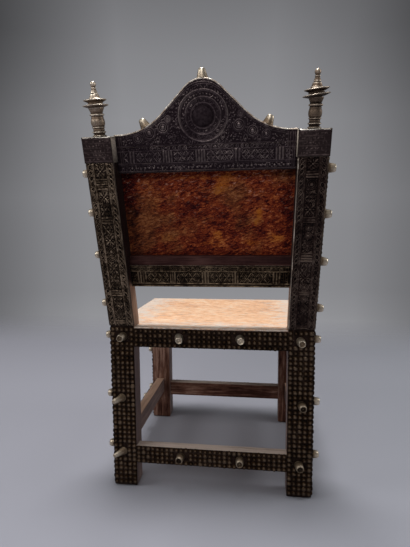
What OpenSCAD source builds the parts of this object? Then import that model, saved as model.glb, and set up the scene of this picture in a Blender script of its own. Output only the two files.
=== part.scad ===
// Asipim chair: a mortised wooden frame with stretched hide, clad in brass sheet, studs and domed nails.
// Millimetres. The chair stands on z = 0 and faces -y, so its back is at +y and the sitter's left at +x.

/* [Frame] */
// Width across the outside of the legs
frame_w = 440; // [400:1:500]
// Depth from the back of the rear legs to the front of the front legs
frame_d = 395; // [360:1:450]
// Height of the top of the seat rails
rail_top = 368; // [340:1:410]
// Width of a leg, seen from behind
leg_w = 53; // [50:1:60]
// Depth of a leg below the seat
leg_d = 40; // [38:1:46]
// Radius of the worn edges of the feet
foot_r = 6; // [2:1:9]

/* [Leaning back] */
// Length of a rear post above the seat
post_l = 395; // [380:1:440]
// Backward lean of the posts in degrees
lean = 13.3; // [8:0.1:18]
// Outward splay of the posts in degrees
splay = 1.3; // [0:0.1:2.5]
// How far the crest and the lower back rail are set in from the back of the posts
back_set = 25; // [16:1:26]
// Height of the ends of the crest rail above the tops of the posts
crest_rise = 3; // [2:1:8]
// Height of the crest rail at its ends
crest_end_h = 71; // [62:1:80]
// Height of the peak of the crest above its ends
peak_h = 93; // [80:1:110]
// Radius of the rounded peak
peak_r = 48; // [40:1:56]
// Radius of the hollow shoulders of the crest
shoulder_r = 130; // [110:1:150]
// Distance from the middle at which a shoulder turns level
shoulder_x = 168; // [160:1:172]
// Start of the lower back rail, measured up the post
lower_s = 87; // [76:1:120]
// Height of the lower back rail
lower_h = 66; // [56:1:72]
// Height of the bare bevel along its top edge
bevel_h = 18; // [12:1:22]
// Depth of that bevel
bevel_d = 6; // [3:1:7]

/* [Rails and stretchers] */
// Height of the seat rails
rail_h = 41; // [36:1:46]
// Thickness of the seat rails
rail_t = 28; // [24:1:30]
// Height of the stretchers
stretcher_h = 40; // [34:1:44]
// Thickness of the stretchers
stretcher_t = 22; // [20:1:25]
// Underside of the rear stretcher
rear_stretcher_z = 58; // [48:1:66]
// Underside of the front stretcher
front_stretcher_z = 70; // [60:1:80]
// Underside of the side stretchers
side_stretcher_z = 85; // [72:1:100]
// How far the front stretcher is set in from the front of the legs
front_stretcher_set = 8; // [6:1:9]
// How far the side stretchers are set in from the outside of the legs
side_stretcher_set = 13; // [10:1:16]

/* [Joints] */
// Length of the tenons that enter a leg from its inner side
tenon_l = 20; // [14:1:20]
// Length of the tenons that enter a leg from its front or its back
side_tenon_l = 14; // [12:1:14]
// Thickness of a tenon
tenon_t = 12; // [8:1:12]
// Height of the shoulder above and below a tenon
shoulder = 6; // [4:1:9]
// Height of the end of the crest rail that stands above the blank of its tenon
crest_tenon_drop = 4; // [2:1:8]
// Diameter of the pegs through the tenons
peg_d = 7; // [5:1:8]
// Length of the pegs
peg_l = 30; // [26:1:32]
// Clearance of a tenon, peg or shank in its hole
fit_gap = 0.2; // [0.1:0.05:0.3]

/* [Hide] */
// Thickness of the hide
hide_t = 3; // [2:0.5:5]
// How far the back hide laps over the posts and rails
hide_lap = 14; // [12:1:16]
// Radius of the roll along the front edge of the seat
roll_r = 7; // [5:0.5:9]
// Gap between the edge of the back hide and the brass sheet beside it
sheet_gap = 2; // [1:0.5:4]
// Clearance of the seat hide round the rear posts
notch_gap = 0.4; // [0.2:0.1:1]

/* [Brass sheet] */
// Thickness of the sheet
sheet_t = 1.2; // [0.8:0.1:2]
// Height of the raised lines beaten into the sheet
relief = 0.7; // [0.5:0.1:1.6]
// Width of a raised line
line_w = 2; // [1.6:0.2:4]
// Width of a raised ring of the medallion
ring_w = 3; // [2:0.2:4]
// Raised lines across the crest, measured from its lower edge
crest_line_s = [3, 18, 41, 50]; // [0:1:60]
// Raised lines across the lower back rail, measured from its lower edge
lower_line_s = [2, 8, 35, 44]; // [0:1:46]
// Start of the sheet on the posts, measured up the post
sheet_s = 4; // [2:1:8]
// Depth of the sheet that turns onto the inner side of a post
sheet_turn = 4; // [3:1:11]
// Height of the cap on a post
cap_h = 45; // [36:1:48]
// Thickness of the cap
cap_t = 2.5; // [1.5:0.5:3]
// Width of the outer border of a post sheet
border_w = 13; // [10:1:16]
// Radius of the outer ring of the medallion
medal_r = 45.5; // [38:0.5:48]
// Radius of the inner ring of the medallion
medal_inner_r = 33; // [26:0.5:36]
// Radius of the ring round the boss
boss_ring_r = 22.6; // [18:0.1:25]
// Radius of the boss in the middle of the medallion
boss_r = 17.6; // [12:0.1:20]
// Height of the boss
boss_h = 4.5; // [2:0.5:7]
// Distance of the middle of the medallion below the peak
medal_drop = 63; // [60:1:70]

/* [Nails and studs] */
// Diameter of a domed nail head
nail_d = 9.6; // [8:0.1:9.8]
// Height of a domed nail head
nail_h = 2.8; // [1.5:0.1:3.5]
// Wanted distance from nail to nail, adjusted a little so that whole rows fill each face
nail_pitch = 10.6; // [10:0.1:14]
// Diameter of the base of a stud
stud_d = 19; // [16:0.5:19]
// Diameter of the tip of a stud
stud_tip_d = 13; // [9:0.5:15]
// Height of the studs on the frame
stud_h = 16.5; // [10:0.5:19]
// Diameter of the base of a stud on the crest
crest_stud_d = 22; // [18:0.5:24]
// Diameter of the tip of a stud on the crest
crest_stud_tip_d = 11; // [8:0.5:15]
// Height of the studs on the crest
crest_stud_h = 18; // [13:0.5:20]
// Diameter of a stud's shank
shank_d = 4; // [3:0.5:4.5]
// Length of a stud's shank
shank_l = 15; // [10:1:15]
// Distance of the two studs on each rail and stretcher from its middle
rail_stud_x = 66; // [50:1:90]
// Height of the studs on the seat rails
rail_stud_z = 350; // [345:1:352]
// Distances of the left and the right side stud of the crest from its middle
crest_stud_x = [112, 119]; // [95:1:125]
// Distances of the studs on the outer side of the left post below its top
left_post_stud_drop = [344, 234, 143, 65]; // [60:1:360]
// Distances of the studs on the outer side of the right post below its top
right_post_stud_drop = [350, 248, 153, 67]; // [60:1:360]
// Heights of the studs up the outer side of a leg
side_stud_z = [92, 213, 350]; // [30:1:355]
// Heights of the studs on the back of the left leg
left_stud_z = [84, 209, 350]; // [30:1:355]
// Sideways shifts of those studs from the middle of the leg, towards the outside
left_stud_shift = [4, 4, -2]; // [-4:1:5]
// Heights of the studs on the back of the right leg
right_stud_z = [76, 210, 348]; // [30:1:355]
// Sideways shifts of those studs from the middle of the leg, towards the outside
right_stud_shift = [-1, 3, -1]; // [-4:1:5]
// Heights of the studs on the front of the front legs
front_stud_z = [80, 210, 350]; // [30:1:355]

/* [Finials] */
// Radius of the rod that holds a finial together
rod_r = 2.5; // [2:0.1:3]
// Depth of the rod in the post
rod_depth = 28; // [20:1:40]
// Height of the turned baluster
baluster_h = 53; // [46:1:60]
// Radius of the baluster's core
baluster_r = 9.8; // [9:0.1:12]
// Radius of the lower disc
lower_disc_r = 25; // [20:0.5:28]
// Radius of the upper disc
upper_disc_r = 22.5; // [18:0.5:26]
// Thickness of a disc at its middle
disc_t = 5.5; // [4:0.5:7]
// Radius of the collar between the discs, and of the part of each disc that it meets
collar_r = 15; // [12:0.5:16]
// Height of that collar
collar_h = 4; // [3:0.5:6]
// Height of the spire without its ball
spire_h = 20; // [16:1:26]
// Radius of the ball on top
ball_r = 5.6; // [4.5:0.1:6]

/* [Hidden] */

$fn = 48;
wood = [0.34, 0.21, 0.16];
brass = [0.45, 0.36, 0.22];
old_brass = [0.26, 0.21, 0.15];
seat_colour = [0.80, 0.55, 0.38];
back_colour = [0.55, 0.25, 0.12];

out_x = frame_w / 2;
in_x = out_x - leg_w;
mid_x = out_x - leg_w / 2;
bend_z = rail_top + hide_t;
rail_z = rail_top - rail_h;
front_y = -frame_d;
front_leg_y = front_y + leg_d;
post_d = leg_d / cos(lean);
far = 2 * (frame_w + post_l);

// Places up the post, measured from the seat
crest_end_s = post_l + crest_rise;
crest_s = crest_end_s - crest_end_h;
crest_peak_s = crest_end_s + peak_h;
medal_s = crest_peak_s - medal_drop;
cap_s = post_l - cap_h;
left_post_stud_s = [for (drop = left_post_stud_drop) post_l - drop];
right_post_stud_s = [for (drop = right_post_stud_drop) post_l - drop];

// Height above the floor, and distance behind the rear legs, of a point s up the post and t in from its back
function height_at(s, t) = bend_z + s * cos(lean) + t * sin(lean);
function behind_at(s, t) = s * sin(lean) - t * cos(lean);
// Sideways shift of a splayed post at a height above the floor
function splay_at(z) = max(0, z - bend_z) * tan(splay);

top_z = height_at(post_l + cap_t, post_d) + cap_t;
finial_s = post_l + cap_t;
lower_disc_z = baluster_h;
collar_z = lower_disc_z + disc_t;
upper_disc_z = collar_z + collar_h;
spire_z = upper_disc_z + disc_t;
disc_rim_z = 0.68 * disc_t;

// The chair is moved along y so that its bounding box is centred over the origin
reach_back = behind_at(finial_s + lower_disc_z + disc_rim_z, post_d / 2 - lower_disc_r);
back_y = (frame_d + stud_h - reach_back) / 2;

module stand() {
    translate([0, back_y, 0]) children();
}

// The plane of the leaning back: x across, y up the posts, z from their back face forwards
module in_back() {
    translate([0, 0, bend_z]) rotate([90 - lean, 0, 0]) children();
}

module on_side(side) {
    mirror([side == "right" ? 1 : 0, 0, 0]) children();
}

module both_sides() {
    children();
    mirror([1, 0, 0]) children();
}

module block(low, high) {
    translate(low) cube(high - low);
}

// An upright slab whose outline is drawn in x and z, or in y and z
module seen_from_front(depth = far) {
    rotate([90, 0, 0]) linear_extrude(height = depth, center = true) children();
}

module seen_from_side(low, high) {
    translate([low, 0, 0]) rotate([90, 0, 90]) linear_extrude(height = high - low) children();
}

// The worn end of a leg between two edges
module foot_outline(a, b) {
    translate([a + foot_r, 0]) square([b - a - 2 * foot_r, 2 * foot_r]);
    translate([a + foot_r, foot_r]) circle(r = foot_r);
    translate([b - foot_r, foot_r]) circle(r = foot_r);
}

// Everything between the inner faces of the posts, widened by lap on each side
module between_posts(lap = 0) {
    top = in_x + splay_at(top_z + far) + lap;
    low = in_x + lap;
    seen_from_front() polygon([
        [-low, 0], [low, 0], [low, bend_z], [top, top_z + far], [-top, top_z + far], [-low, bend_z]
    ]);
}

// The outline of the left post, widened by grow on both faces
module post_slab(grow = 0) {
    top = splay_at(top_z);
    seen_from_front() polygon([
        [in_x - grow, foot_r], [in_x - grow, bend_z], [in_x - grow + top, top_z],
        [out_x + grow + top, top_z], [out_x + grow, bend_z], [out_x + grow, foot_r]
    ]);
}

module post_blank() {
    intersection() {
        union() {
            post_slab();
            seen_from_front() foot_outline(in_x, out_x);
        }
        seen_from_side(0, far) {
            polygon([
                [0, foot_r], [0, bend_z],
                [behind_at(post_l, 0), height_at(post_l, 0)],
                [behind_at(post_l, post_d), height_at(post_l, post_d)],
                [-leg_d, height_at(0, post_d)], [-leg_d, foot_r]
            ]);
            foot_outline(-leg_d, 0);
        }
    }
}

// How far a tenon runs back into the body of its rail
root = 5;

// A tenon on the left end of a cross rail. The same shape, grown by gap, cuts its mortise.
module cross_tenon(y, z, height, gap = 0) {
    block(
        [in_x - root, y - tenon_t / 2 - gap, z + shoulder - gap],
        [in_x + tenon_l + gap, y + tenon_t / 2 + gap, z + height - shoulder + gap]
    );
}

// The tenons on both ends of the left side rail or stretcher
module side_tenons(x, z, height, gap = 0) {
    block(
        [x - tenon_t / 2 - gap, -leg_d - root, z + shoulder - gap],
        [x + tenon_t / 2 + gap, -leg_d + side_tenon_l + gap, z + height - shoulder + gap]
    );
    block(
        [x - tenon_t / 2 - gap, front_leg_y - side_tenon_l - gap, z + shoulder - gap],
        [x + tenon_t / 2 + gap, front_leg_y + root, z + height - shoulder + gap]
    );
}

// A tenon on the left end of a rail of the back, drawn in its leaning plane
module back_tenon(low, high, gap = 0) {
    mid = (back_set + post_d) / 2;
    half = min(tenon_t, (post_d - back_set) / 2) / 2;
    reach = in_x + splay_at(height_at((low + high) / 2, mid)) + tenon_l;
    block(
        [in_x - root, low + shoulder - gap, mid - half - gap],
        [reach + gap, high - shoulder + gap, mid + half + gap]
    );
}

side_rail_x = out_x - rail_t / 2;
side_stretcher_x = out_x - side_stretcher_set - stretcher_t / 2;
rear_rail_y = -rail_t / 2;
front_rail_y = front_y + rail_t / 2;
rear_stretcher_y = -stretcher_t / 2;
front_stretcher_y = front_y + front_stretcher_set + stretcher_t / 2;
crest_tenon_top = crest_end_s - crest_tenon_drop;

// Pegs of the left side. gap grows the same pegs into their holes.
module cross_peg(y, z, gap = 0) {
    toward = y > front_leg_y / 2 ? -1 : 1;
    start = toward < 0 ? 0 : front_y;
    translate([in_x + tenon_l / 2, start, z]) rotate([-90 * toward, 0, 0])
        cylinder(d = peg_d + 2 * gap, h = peg_l + gap);
}

module side_peg(y, z, gap = 0) {
    translate([out_x, y, z]) rotate([0, -90, 0]) cylinder(d = peg_d + 2 * gap, h = peg_l + gap);
}

module left_seat_rail_pegs(gap = 0) {
    z = rail_z + rail_h / 2;
    cross_peg(rear_rail_y, z, gap);
    cross_peg(front_rail_y, z, gap);
    side_peg(-leg_d + side_tenon_l / 2, z, gap);
    side_peg(front_leg_y - side_tenon_l / 2, z, gap);
}

module left_stretcher_pegs(gap = 0) {
    side_z = side_stretcher_z + stretcher_h / 2;
    cross_peg(rear_stretcher_y, rear_stretcher_z + stretcher_h / 2, gap);
    cross_peg(front_stretcher_y, front_stretcher_z + stretcher_h / 2, gap);
    side_peg(-leg_d + side_tenon_l / 2, side_z, gap);
    side_peg(front_leg_y - side_tenon_l / 2, side_z, gap);
}

module left_back_rail_pegs(gap = 0) {
    for (s = [lower_s + lower_h / 2, (crest_s + crest_tenon_top) / 2])
        translate([in_x + splay_at(height_at(s, 0)) + tenon_l / 2, s, 0])
            cylinder(d = peg_d + 2 * gap, h = post_d - 3 + gap);
}

module left_mortises() {
    cross_tenon(rear_rail_y, rail_z, rail_h, fit_gap);
    cross_tenon(front_rail_y, rail_z, rail_h, fit_gap);
    side_tenons(side_rail_x, rail_z, rail_h, fit_gap);
    cross_tenon(rear_stretcher_y, rear_stretcher_z, stretcher_h, fit_gap);
    cross_tenon(front_stretcher_y, front_stretcher_z, stretcher_h, fit_gap);
    side_tenons(side_stretcher_x, side_stretcher_z, stretcher_h, fit_gap);
    left_seat_rail_pegs(fit_gap);
    left_stretcher_pegs(fit_gap);
}

module post_mortises() {
    in_back() {
        back_tenon(lower_s, lower_s + lower_h, fit_gap);
        back_tenon(crest_s, crest_tenon_top, fit_gap);
        left_back_rail_pegs(fit_gap);
    }
}

// Domed nails

// Radius of the arc that is wide across its foot and high in the middle
function arc_radius(wide, high) = (wide * wide / 4 + high * high) / (2 * high);

module nail() {
    curve = arc_radius(nail_d, nail_h);
    rotate_extrude($fn = 16) intersection() {
        translate([0, nail_h - curve]) circle(r = curve);
        square([nail_d, nail_h]);
    }
}

// Is a nail at p clear of every stud in the list?
function clear_of(p, studs) =
    min([for (q = concat(studs, [[far, far]])) norm(p - q)]) > (stud_d + nail_d) / 2 + 0.1;

// How many nails fill a length, a little closer than the wanted pitch if that makes room for one more
function nails_in(length) = max(1, min(floor(length / nail_pitch + 0.25), floor(length / (nail_d + 0.1))));

// Rows of nails that fill a face, apart from where a stud stands
module nail_field(w, h, studs = []) {
    columns = nails_in(w);
    rows = nails_in(h);
    for (i = [0:columns - 1], j = [0:rows - 1]) {
        p = [(i + 0.5) * w / columns, (j + 0.5) * h / rows];
        if (clear_of(p, studs)) translate([p[0], p[1], 0]) nail();
    }
}

// Faces that nails and studs stand on, each with x to the right and y up as seen from outside
module rear_face(x, y, z) {
    translate([x, y, z]) rotate([90, 0, 180]) children();
}

module front_face(x, y, z) {
    translate([x, y, z]) rotate([90, 0, 0]) children();
}

module left_face(x, y, z) {
    translate([x, y, z]) rotate([90, 0, 90]) children();
}

// A list of heights as stud places on a face, with its sideways place
function studs_at(x, heights, from = 0) = [for (z = heights) [x, z - from]];
function shifted_studs(x, shifts, heights, from = 0) =
    [for (i = [0:len(heights) - 1]) [x + shifts[i], heights[i] - from]];

// Studs

// A thimble-shaped head with a rounded tip, on a shank
module stud(base_d = stud_d, tip_d = stud_tip_d, h = stud_h) {
    edge = 1.5;
    round_r = tip_d / 4;
    flat_r = tip_d / 2 - round_r;
    rotate_extrude() {
        polygon([
            [0, -shank_l], [shank_d / 2, -shank_l], [shank_d / 2, 0], [base_d / 2, 0],
            [base_d / 2, edge], [tip_d / 2, h - round_r], [0, h - round_r]
        ]);
        translate([flat_r, h - round_r]) circle(r = round_r);
        translate([0, h - 2 * round_r]) square([flat_r, 2 * round_r]);
    }
}

module shank_hole() {
    translate([0, 0, -shank_l - fit_gap])
        cylinder(d = shank_d + 2 * fit_gap, h = shank_l + 2 * cap_t + fit_gap);
}

module at_places(places) {
    for (p = places) translate([p[0], p[1], 0]) children();
}

// Each of these places its child at every stud of one group
module at_rear_leg_studs(shifts, heights) {
    rear_face(mid_x, 0, 0) at_places([for (i = [0:len(heights) - 1]) [-shifts[i], heights[i]]]) children();
}

module at_front_leg_studs() {
    front_face(mid_x, front_y, 0) at_places(studs_at(0, front_stud_z)) children();
}

module at_leg_side_studs(y) {
    left_face(out_x, y, 0) at_places(studs_at(0, side_stud_z)) children();
}

module at_post_side_studs(places) {
    for (s = places) {
        z = height_at(s, post_d / 2);
        translate([out_x + splay_at(z), behind_at(s, post_d / 2), z]) rotate([0, 90 + splay, 0])
            translate([0, 0, sheet_t]) children();
    }
}

rail_stud_places = [[-rail_stud_x, rail_stud_z], [rail_stud_x, rail_stud_z]];
function stretcher_studs(z) = [for (x = [-rail_stud_x, rail_stud_x]) [x, z + stretcher_h / 2]];
side_mid_y = (front_leg_y - leg_d) / 2;

// Studs of one side below the back: on both legs, the side rail and the side stretcher
module at_low_side_studs() {
    at_leg_side_studs(-leg_d / 2) children();
    at_leg_side_studs(front_y + leg_d / 2) children();
    left_face(out_x, side_mid_y, 0) at_places(rail_stud_places) children();
    left_face(out_x - side_stretcher_set, side_mid_y, 0)
        at_places(stretcher_studs(side_stretcher_z)) children();
}

// Crest outline

end_k = crest_end_s + shoulder_r;
peak_k = crest_peak_s - peak_r;
// Angle of the normal to the straight slope between the peak and the shoulder
slope = atan2(end_k - peak_k, shoulder_x) + acos((peak_r + shoulder_r) / norm([shoulder_x, end_k - peak_k]));

module crest_outline(grow = 0) {
    peak_n = peak_r + grow;
    hollow_n = shoulder_r - grow;
    slope_top = [peak_n * cos(slope), peak_k + peak_n * sin(slope)];
    slope_end = [shoulder_x - hollow_n * cos(slope), end_k - hollow_n * sin(slope)];
    end_s = crest_end_s + grow;
    half = [[shoulder_x, end_s], slope_end, slope_top];
    difference() {
        union() {
            polygon(concat(
                [[-frame_w, crest_s], [frame_w, crest_s], [frame_w, end_s]],
                half,
                [for (i = [2:-1:0]) [-half[i][0], half[i][1]]],
                [[-frame_w, end_s]]
            ));
            translate([0, peak_k]) circle(r = peak_n);
        }
        for (x = [-shoulder_x, shoulder_x]) translate([x, end_k]) circle(r = hollow_n);
    }
}

crest_mid_t = (back_set + post_d) / 2;

module at_crest_studs() {
    translate([0, crest_peak_s + sheet_t, crest_mid_t]) rotate([-90, 0, 0]) children();
    // A side stud stands square on the arc of its shoulder
    for (side = [0, 1]) mirror([side, 0, 0]) {
        turn = asin((shoulder_x - crest_stud_x[side]) / shoulder_r);
        translate([crest_stud_x[side], end_k - shoulder_r * cos(turn), crest_mid_t]) rotate([0, 0, -turn])
            translate([0, sheet_t, 0]) rotate([-90, 0, 0]) children();
    }
}

// Wooden frame

module left_post(stud_shifts, stud_heights, side_places) {
    difference() {
        post_blank();
        left_mortises();
        post_mortises();
        at_rear_leg_studs(stud_shifts, stud_heights) shank_hole();
        at_leg_side_studs(-leg_d / 2) shank_hole();
        at_post_side_studs(side_places) shank_hole();
        finial_place() translate([0, 0, -rod_depth - cap_t - fit_gap])
            cylinder(r = rod_r + fit_gap, h = rod_depth + 3 * cap_t);
    }
}

module left_rear_post() {
    color(wood) stand() left_post(left_stud_shift, left_stud_z, left_post_stud_s);
}

module right_rear_post() {
    color(wood) stand() on_side("right")
        left_post(right_stud_shift, right_stud_z, right_post_stud_s);
}

module front_leg() {
    difference() {
        intersection() {
            seen_from_front() {
                block_outline(in_x, out_x);
                foot_outline(in_x, out_x);
            }
            seen_from_side(in_x, out_x) {
                block_outline(front_y, front_leg_y);
                foot_outline(front_y, front_leg_y);
            }
        }
        left_mortises();
        at_front_leg_studs() shank_hole();
        at_leg_side_studs(front_y + leg_d / 2) shank_hole();
    }
}

module block_outline(a, b) {
    translate([a, foot_r]) square([b - a, rail_top - foot_r]);
}

module left_front_leg() {
    color(wood) stand() front_leg();
}

module right_front_leg() {
    color(wood) stand() on_side("right") front_leg();
}

// A rail or stretcher between two legs, with its tenons, peg holes and stud holes
module cross_rail(y, z, height, thick) {
    difference() {
        union() {
            block([-in_x, y - thick / 2, z], [in_x, y + thick / 2, z + height]);
            both_sides() cross_tenon(y, z, height);
        }
        both_sides() {
            left_seat_rail_pegs(fit_gap);
            left_stretcher_pegs(fit_gap);
        }
        children();
    }
}

module side_rail(x, z, height, thick) {
    difference() {
        union() {
            block([x - thick / 2, front_leg_y, z], [x + thick / 2, -leg_d, z + height]);
            side_tenons(x, z, height);
        }
        left_seat_rail_pegs(fit_gap);
        left_stretcher_pegs(fit_gap);
        at_low_side_studs() shank_hole();
    }
}

module rear_seat_rail() {
    color(wood) stand() cross_rail(rear_rail_y, rail_z, rail_h, rail_t)
        rear_face(0, 0, 0) at_places(rail_stud_places) shank_hole();
}

module front_seat_rail() {
    color(wood) stand() cross_rail(front_rail_y, rail_z, rail_h, rail_t)
        front_face(0, front_y, 0) at_places(rail_stud_places) shank_hole();
}

module left_seat_rail() {
    color(wood) stand() side_rail(side_rail_x, rail_z, rail_h, rail_t);
}

module right_seat_rail() {
    color(wood) stand() on_side("right") side_rail(side_rail_x, rail_z, rail_h, rail_t);
}

module rear_stretcher() {
    color(wood) stand() cross_rail(rear_stretcher_y, rear_stretcher_z, stretcher_h, stretcher_t)
        rear_face(0, 0, 0) at_places(stretcher_studs(rear_stretcher_z)) shank_hole();
}

module front_stretcher() {
    color(wood) stand() cross_rail(front_stretcher_y, front_stretcher_z, stretcher_h, stretcher_t)
        front_face(0, front_y + front_stretcher_set, 0)
            at_places(stretcher_studs(front_stretcher_z)) shank_hole();
}

module left_stretcher() {
    color(wood) stand() side_rail(side_stretcher_x, side_stretcher_z, stretcher_h, stretcher_t);
}

module right_stretcher() {
    color(wood) stand() on_side("right")
        side_rail(side_stretcher_x, side_stretcher_z, stretcher_h, stretcher_t);
}

module crest_rail() {
    color(wood) stand() difference() {
        union() {
            intersection() {
                in_back() translate([0, 0, back_set])
                    linear_extrude(height = post_d - back_set) crest_outline();
                between_posts();
            }
            both_sides() in_back() back_tenon(crest_s, crest_tenon_top);
        }
        both_sides() in_back() left_back_rail_pegs(fit_gap);
        in_back() at_crest_studs() shank_hole();
    }
}

module lower_back_rail() {
    top = lower_s + lower_h;
    color(wood) stand() difference() {
        union() {
            intersection() {
                in_back() translate([-frame_w, 0, 0]) rotate([90, 0, 90])
                    linear_extrude(height = 2 * frame_w) polygon([
                        [lower_s, back_set], [top - bevel_h, back_set], [top, back_set + bevel_d],
                        [top, post_d], [lower_s, post_d]
                    ]);
                between_posts();
            }
            both_sides() in_back() back_tenon(lower_s, top);
        }
        both_sides() in_back() left_back_rail_pegs(fit_gap);
    }
}

module seat_rail_pegs() {
    color(wood) stand() both_sides() left_seat_rail_pegs();
}

module stretcher_pegs() {
    color(wood) stand() both_sides() left_stretcher_pegs();
}

module back_rail_pegs() {
    color(wood) stand() both_sides() in_back() left_back_rail_pegs();
}

// Hide

module seat_hide() {
    color(seat_colour) stand() difference() {
        union() {
            block([-out_x, front_y, rail_top], [out_x, 0, bend_z]);
            translate([-out_x, front_y + sheet_t, rail_top]) rotate([0, 90, 0])
                cylinder(r = roll_r, h = frame_w);
        }
        block([-out_x - 1, front_y, rail_top - 2 * roll_r], [out_x + 1, 0, rail_top]);
        both_sides() block([in_x - notch_gap, -leg_d - notch_gap, 0], [out_x + 1, 1, top_z]);
    }
}

module back_hide() {
    color(back_colour) stand() intersection() {
        in_back() block(
            [-frame_w, lower_s + lower_h - hide_lap, post_d],
            [frame_w, crest_s + hide_lap, post_d + hide_t]
        );
        between_posts(hide_lap);
    }
}

// Brass sheet

// A raised line along the post, at a distance from its inner face
module post_line(from_inner) {
    intersection() {
        in_back() block([0, sheet_s, -sheet_t - relief], [frame_w, cap_s, -sheet_t / 2]);
        difference() {
            between_posts(from_inner + line_w / 2);
            between_posts(from_inner - line_w / 2);
        }
    }
}

// The depth at which sheet on the inner side of a post must stop, to clear the raised lines of the rails
clear_t = back_set - sheet_t - relief - fit_gap;

module post_sheet(side_places) {
    difference() {
        intersection() {
            post_slab(sheet_t);
            in_back() block([0, sheet_s, -sheet_t], [frame_w, cap_s, post_d + sheet_t]);
        }
        post_blank();
        intersection() {
            between_posts();
            in_back() block([0, 0, min(clear_t, sheet_turn)], [frame_w, 2 * post_l, 2 * post_d]);
        }
        intersection() {
            between_posts(hide_lap + sheet_gap);
            in_back() block(
                [0, lower_s + lower_h - hide_lap - sheet_gap, post_d / 2],
                [frame_w, crest_s + hide_lap + sheet_gap, 2 * post_d]
            );
        }
        at_post_side_studs(side_places) shank_hole();
    }
    for (x = [line_w / 2, border_w, leg_w - border_w, leg_w - line_w / 2]) post_line(x);
}

module left_post_sheet() {
    color(old_brass) stand() post_sheet(left_post_stud_s);
}

module right_post_sheet() {
    color(old_brass) stand() on_side("right") post_sheet(right_post_stud_s);
}

// A box of thicker sheet over the top of the post, open where the crest rail enters
module post_cap() {
    difference() {
        intersection() {
            post_slab(cap_t);
            in_back() block([0, cap_s, -cap_t], [frame_w, post_l + cap_t, post_d + cap_t]);
        }
        post_blank();
        intersection() {
            between_posts();
            in_back() block([0, 0, clear_t], [frame_w, 2 * post_l, 2 * post_d]);
        }
        finial_place() translate([0, 0, -2 * cap_t]) cylinder(r = rod_r + fit_gap, h = 3 * cap_t);
    }
}

module left_post_cap() {
    color(old_brass) stand() post_cap();
}

module right_post_cap() {
    color(old_brass) stand() on_side("right") post_cap();
}

// A low rounded ring beaten out of a sheet that faces back
module raised_ring(r) {
    curve = arc_radius(ring_w, relief);
    rotate([180, 0, 0]) rotate_extrude() intersection() {
        translate([r, relief - curve]) circle(r = curve);
        translate([r - ring_w, -sheet_t / 2]) square([2 * ring_w, relief + sheet_t / 2]);
    }
}

module boss() {
    curve = arc_radius(2 * boss_r, boss_h);
    rotate([180, 0, 0]) rotate_extrude() intersection() {
        translate([0, boss_h - curve]) circle(r = curve);
        translate([0, -sheet_t / 2]) square([2 * boss_r, boss_h + sheet_t / 2]);
    }
}

module raised_bar(s) {
    block([-frame_w, s - line_w / 2, -relief], [frame_w, s + line_w / 2, sheet_t / 2]);
}

module crest_sheet() {
    color(old_brass) stand() difference() {
        intersection() {
            in_back() {
                translate([0, 0, back_set - sheet_t]) linear_extrude(height = sheet_t)
                    crest_outline(sheet_t);
                translate([0, 0, back_set]) linear_extrude(height = post_d - back_set) difference() {
                    crest_outline(sheet_t);
                    crest_outline();
                }
                translate([0, 0, back_set - sheet_t]) {
                    translate([0, medal_s, 0]) {
                        raised_ring(medal_r);
                        raised_ring(medal_inner_r);
                        raised_ring(boss_ring_r);
                        boss();
                    }
                    for (s = crest_line_s) raised_bar(crest_s + s);
                }
            }
            between_posts();
        }
        in_back() at_crest_studs() shank_hole();
    }
}

module crest_front_sheet() {
    color(old_brass) stand() intersection() {
        in_back() translate([0, 0, post_d]) linear_extrude(height = sheet_t) difference() {
            crest_outline(sheet_t);
            translate([-frame_w, 0]) square([2 * frame_w, crest_s + hide_lap + sheet_gap]);
        }
        between_posts();
    }
}

module lower_rail_sheet() {
    top = lower_s + lower_h - bevel_h;
    color(old_brass) stand() intersection() {
        in_back() {
            block([-frame_w, lower_s, back_set - sheet_t], [frame_w, top, back_set]);
            translate([0, 0, back_set - sheet_t])
                for (s = lower_line_s) raised_bar(lower_s + s);
        }
        between_posts();
    }
}

module lower_rail_front_sheet() {
    color(old_brass) stand() intersection() {
        in_back() block(
            [-frame_w, lower_s, post_d],
            [frame_w, lower_s + lower_h - hide_lap - sheet_gap, post_d + sheet_t]
        );
        between_posts();
    }
}

// Finials

module finial_place() {
    s = finial_s;
    x = mid_x + splay_at(height_at(s, post_d / 2));
    in_back() translate([x, s, post_d / 2]) rotate([0, 0, -splay]) rotate([-90, 0, 0]) children();
}

module finial_bore(top) {
    translate([0, 0, -1]) cylinder(r = rod_r + fit_gap, h = top + 1);
}

// A ring on the core of the baluster, as a round in the turned outline
module turned_ring(r, z, thick) {
    translate([r - thick / 2, z]) circle(d = thick);
    translate([0, z - thick / 2]) square([r - thick / 2, thick]);
}

// Rings of the baluster from the foot up: how far each stands out from the core, its height and its thickness
baluster_rings = [[1.7, 0.04, 0.075], [2.2, 0.17, 0.064], [2, 0.33, 0.064], [3.2, 0.755, 0.083]];
// The belly between the rings in the same way, and the start of the cup below the lower disc
belly = [3, 0.5, 0.255];
cup_from = 0.84;

module finial_baluster() {
    belly_r = baluster_r + belly[0];
    belly_curve = 0.34 * baluster_h;
    cup_z = cup_from * baluster_h;
    cup_r = collar_r - 1;
    lip_z = baluster_h - 1.5;
    difference() {
        rotate_extrude() {
            square([baluster_r, baluster_h]);
            for (ring = baluster_rings)
                turned_ring(baluster_r + ring[0], ring[1] * baluster_h, ring[2] * baluster_h);
            intersection() {
                translate([belly_r - belly_curve, belly[1] * baluster_h]) circle(r = belly_curve);
                translate([0, (belly[1] - belly[2] / 2) * baluster_h])
                    square([belly_r + 1, belly[2] * baluster_h]);
            }
            polygon([
                [0, cup_z], [baluster_r + 1.5, cup_z], [cup_r, lip_z], [cup_r, baluster_h], [0, baluster_h]
            ]);
        }
        finial_bore(baluster_h + 1);
    }
}

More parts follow.
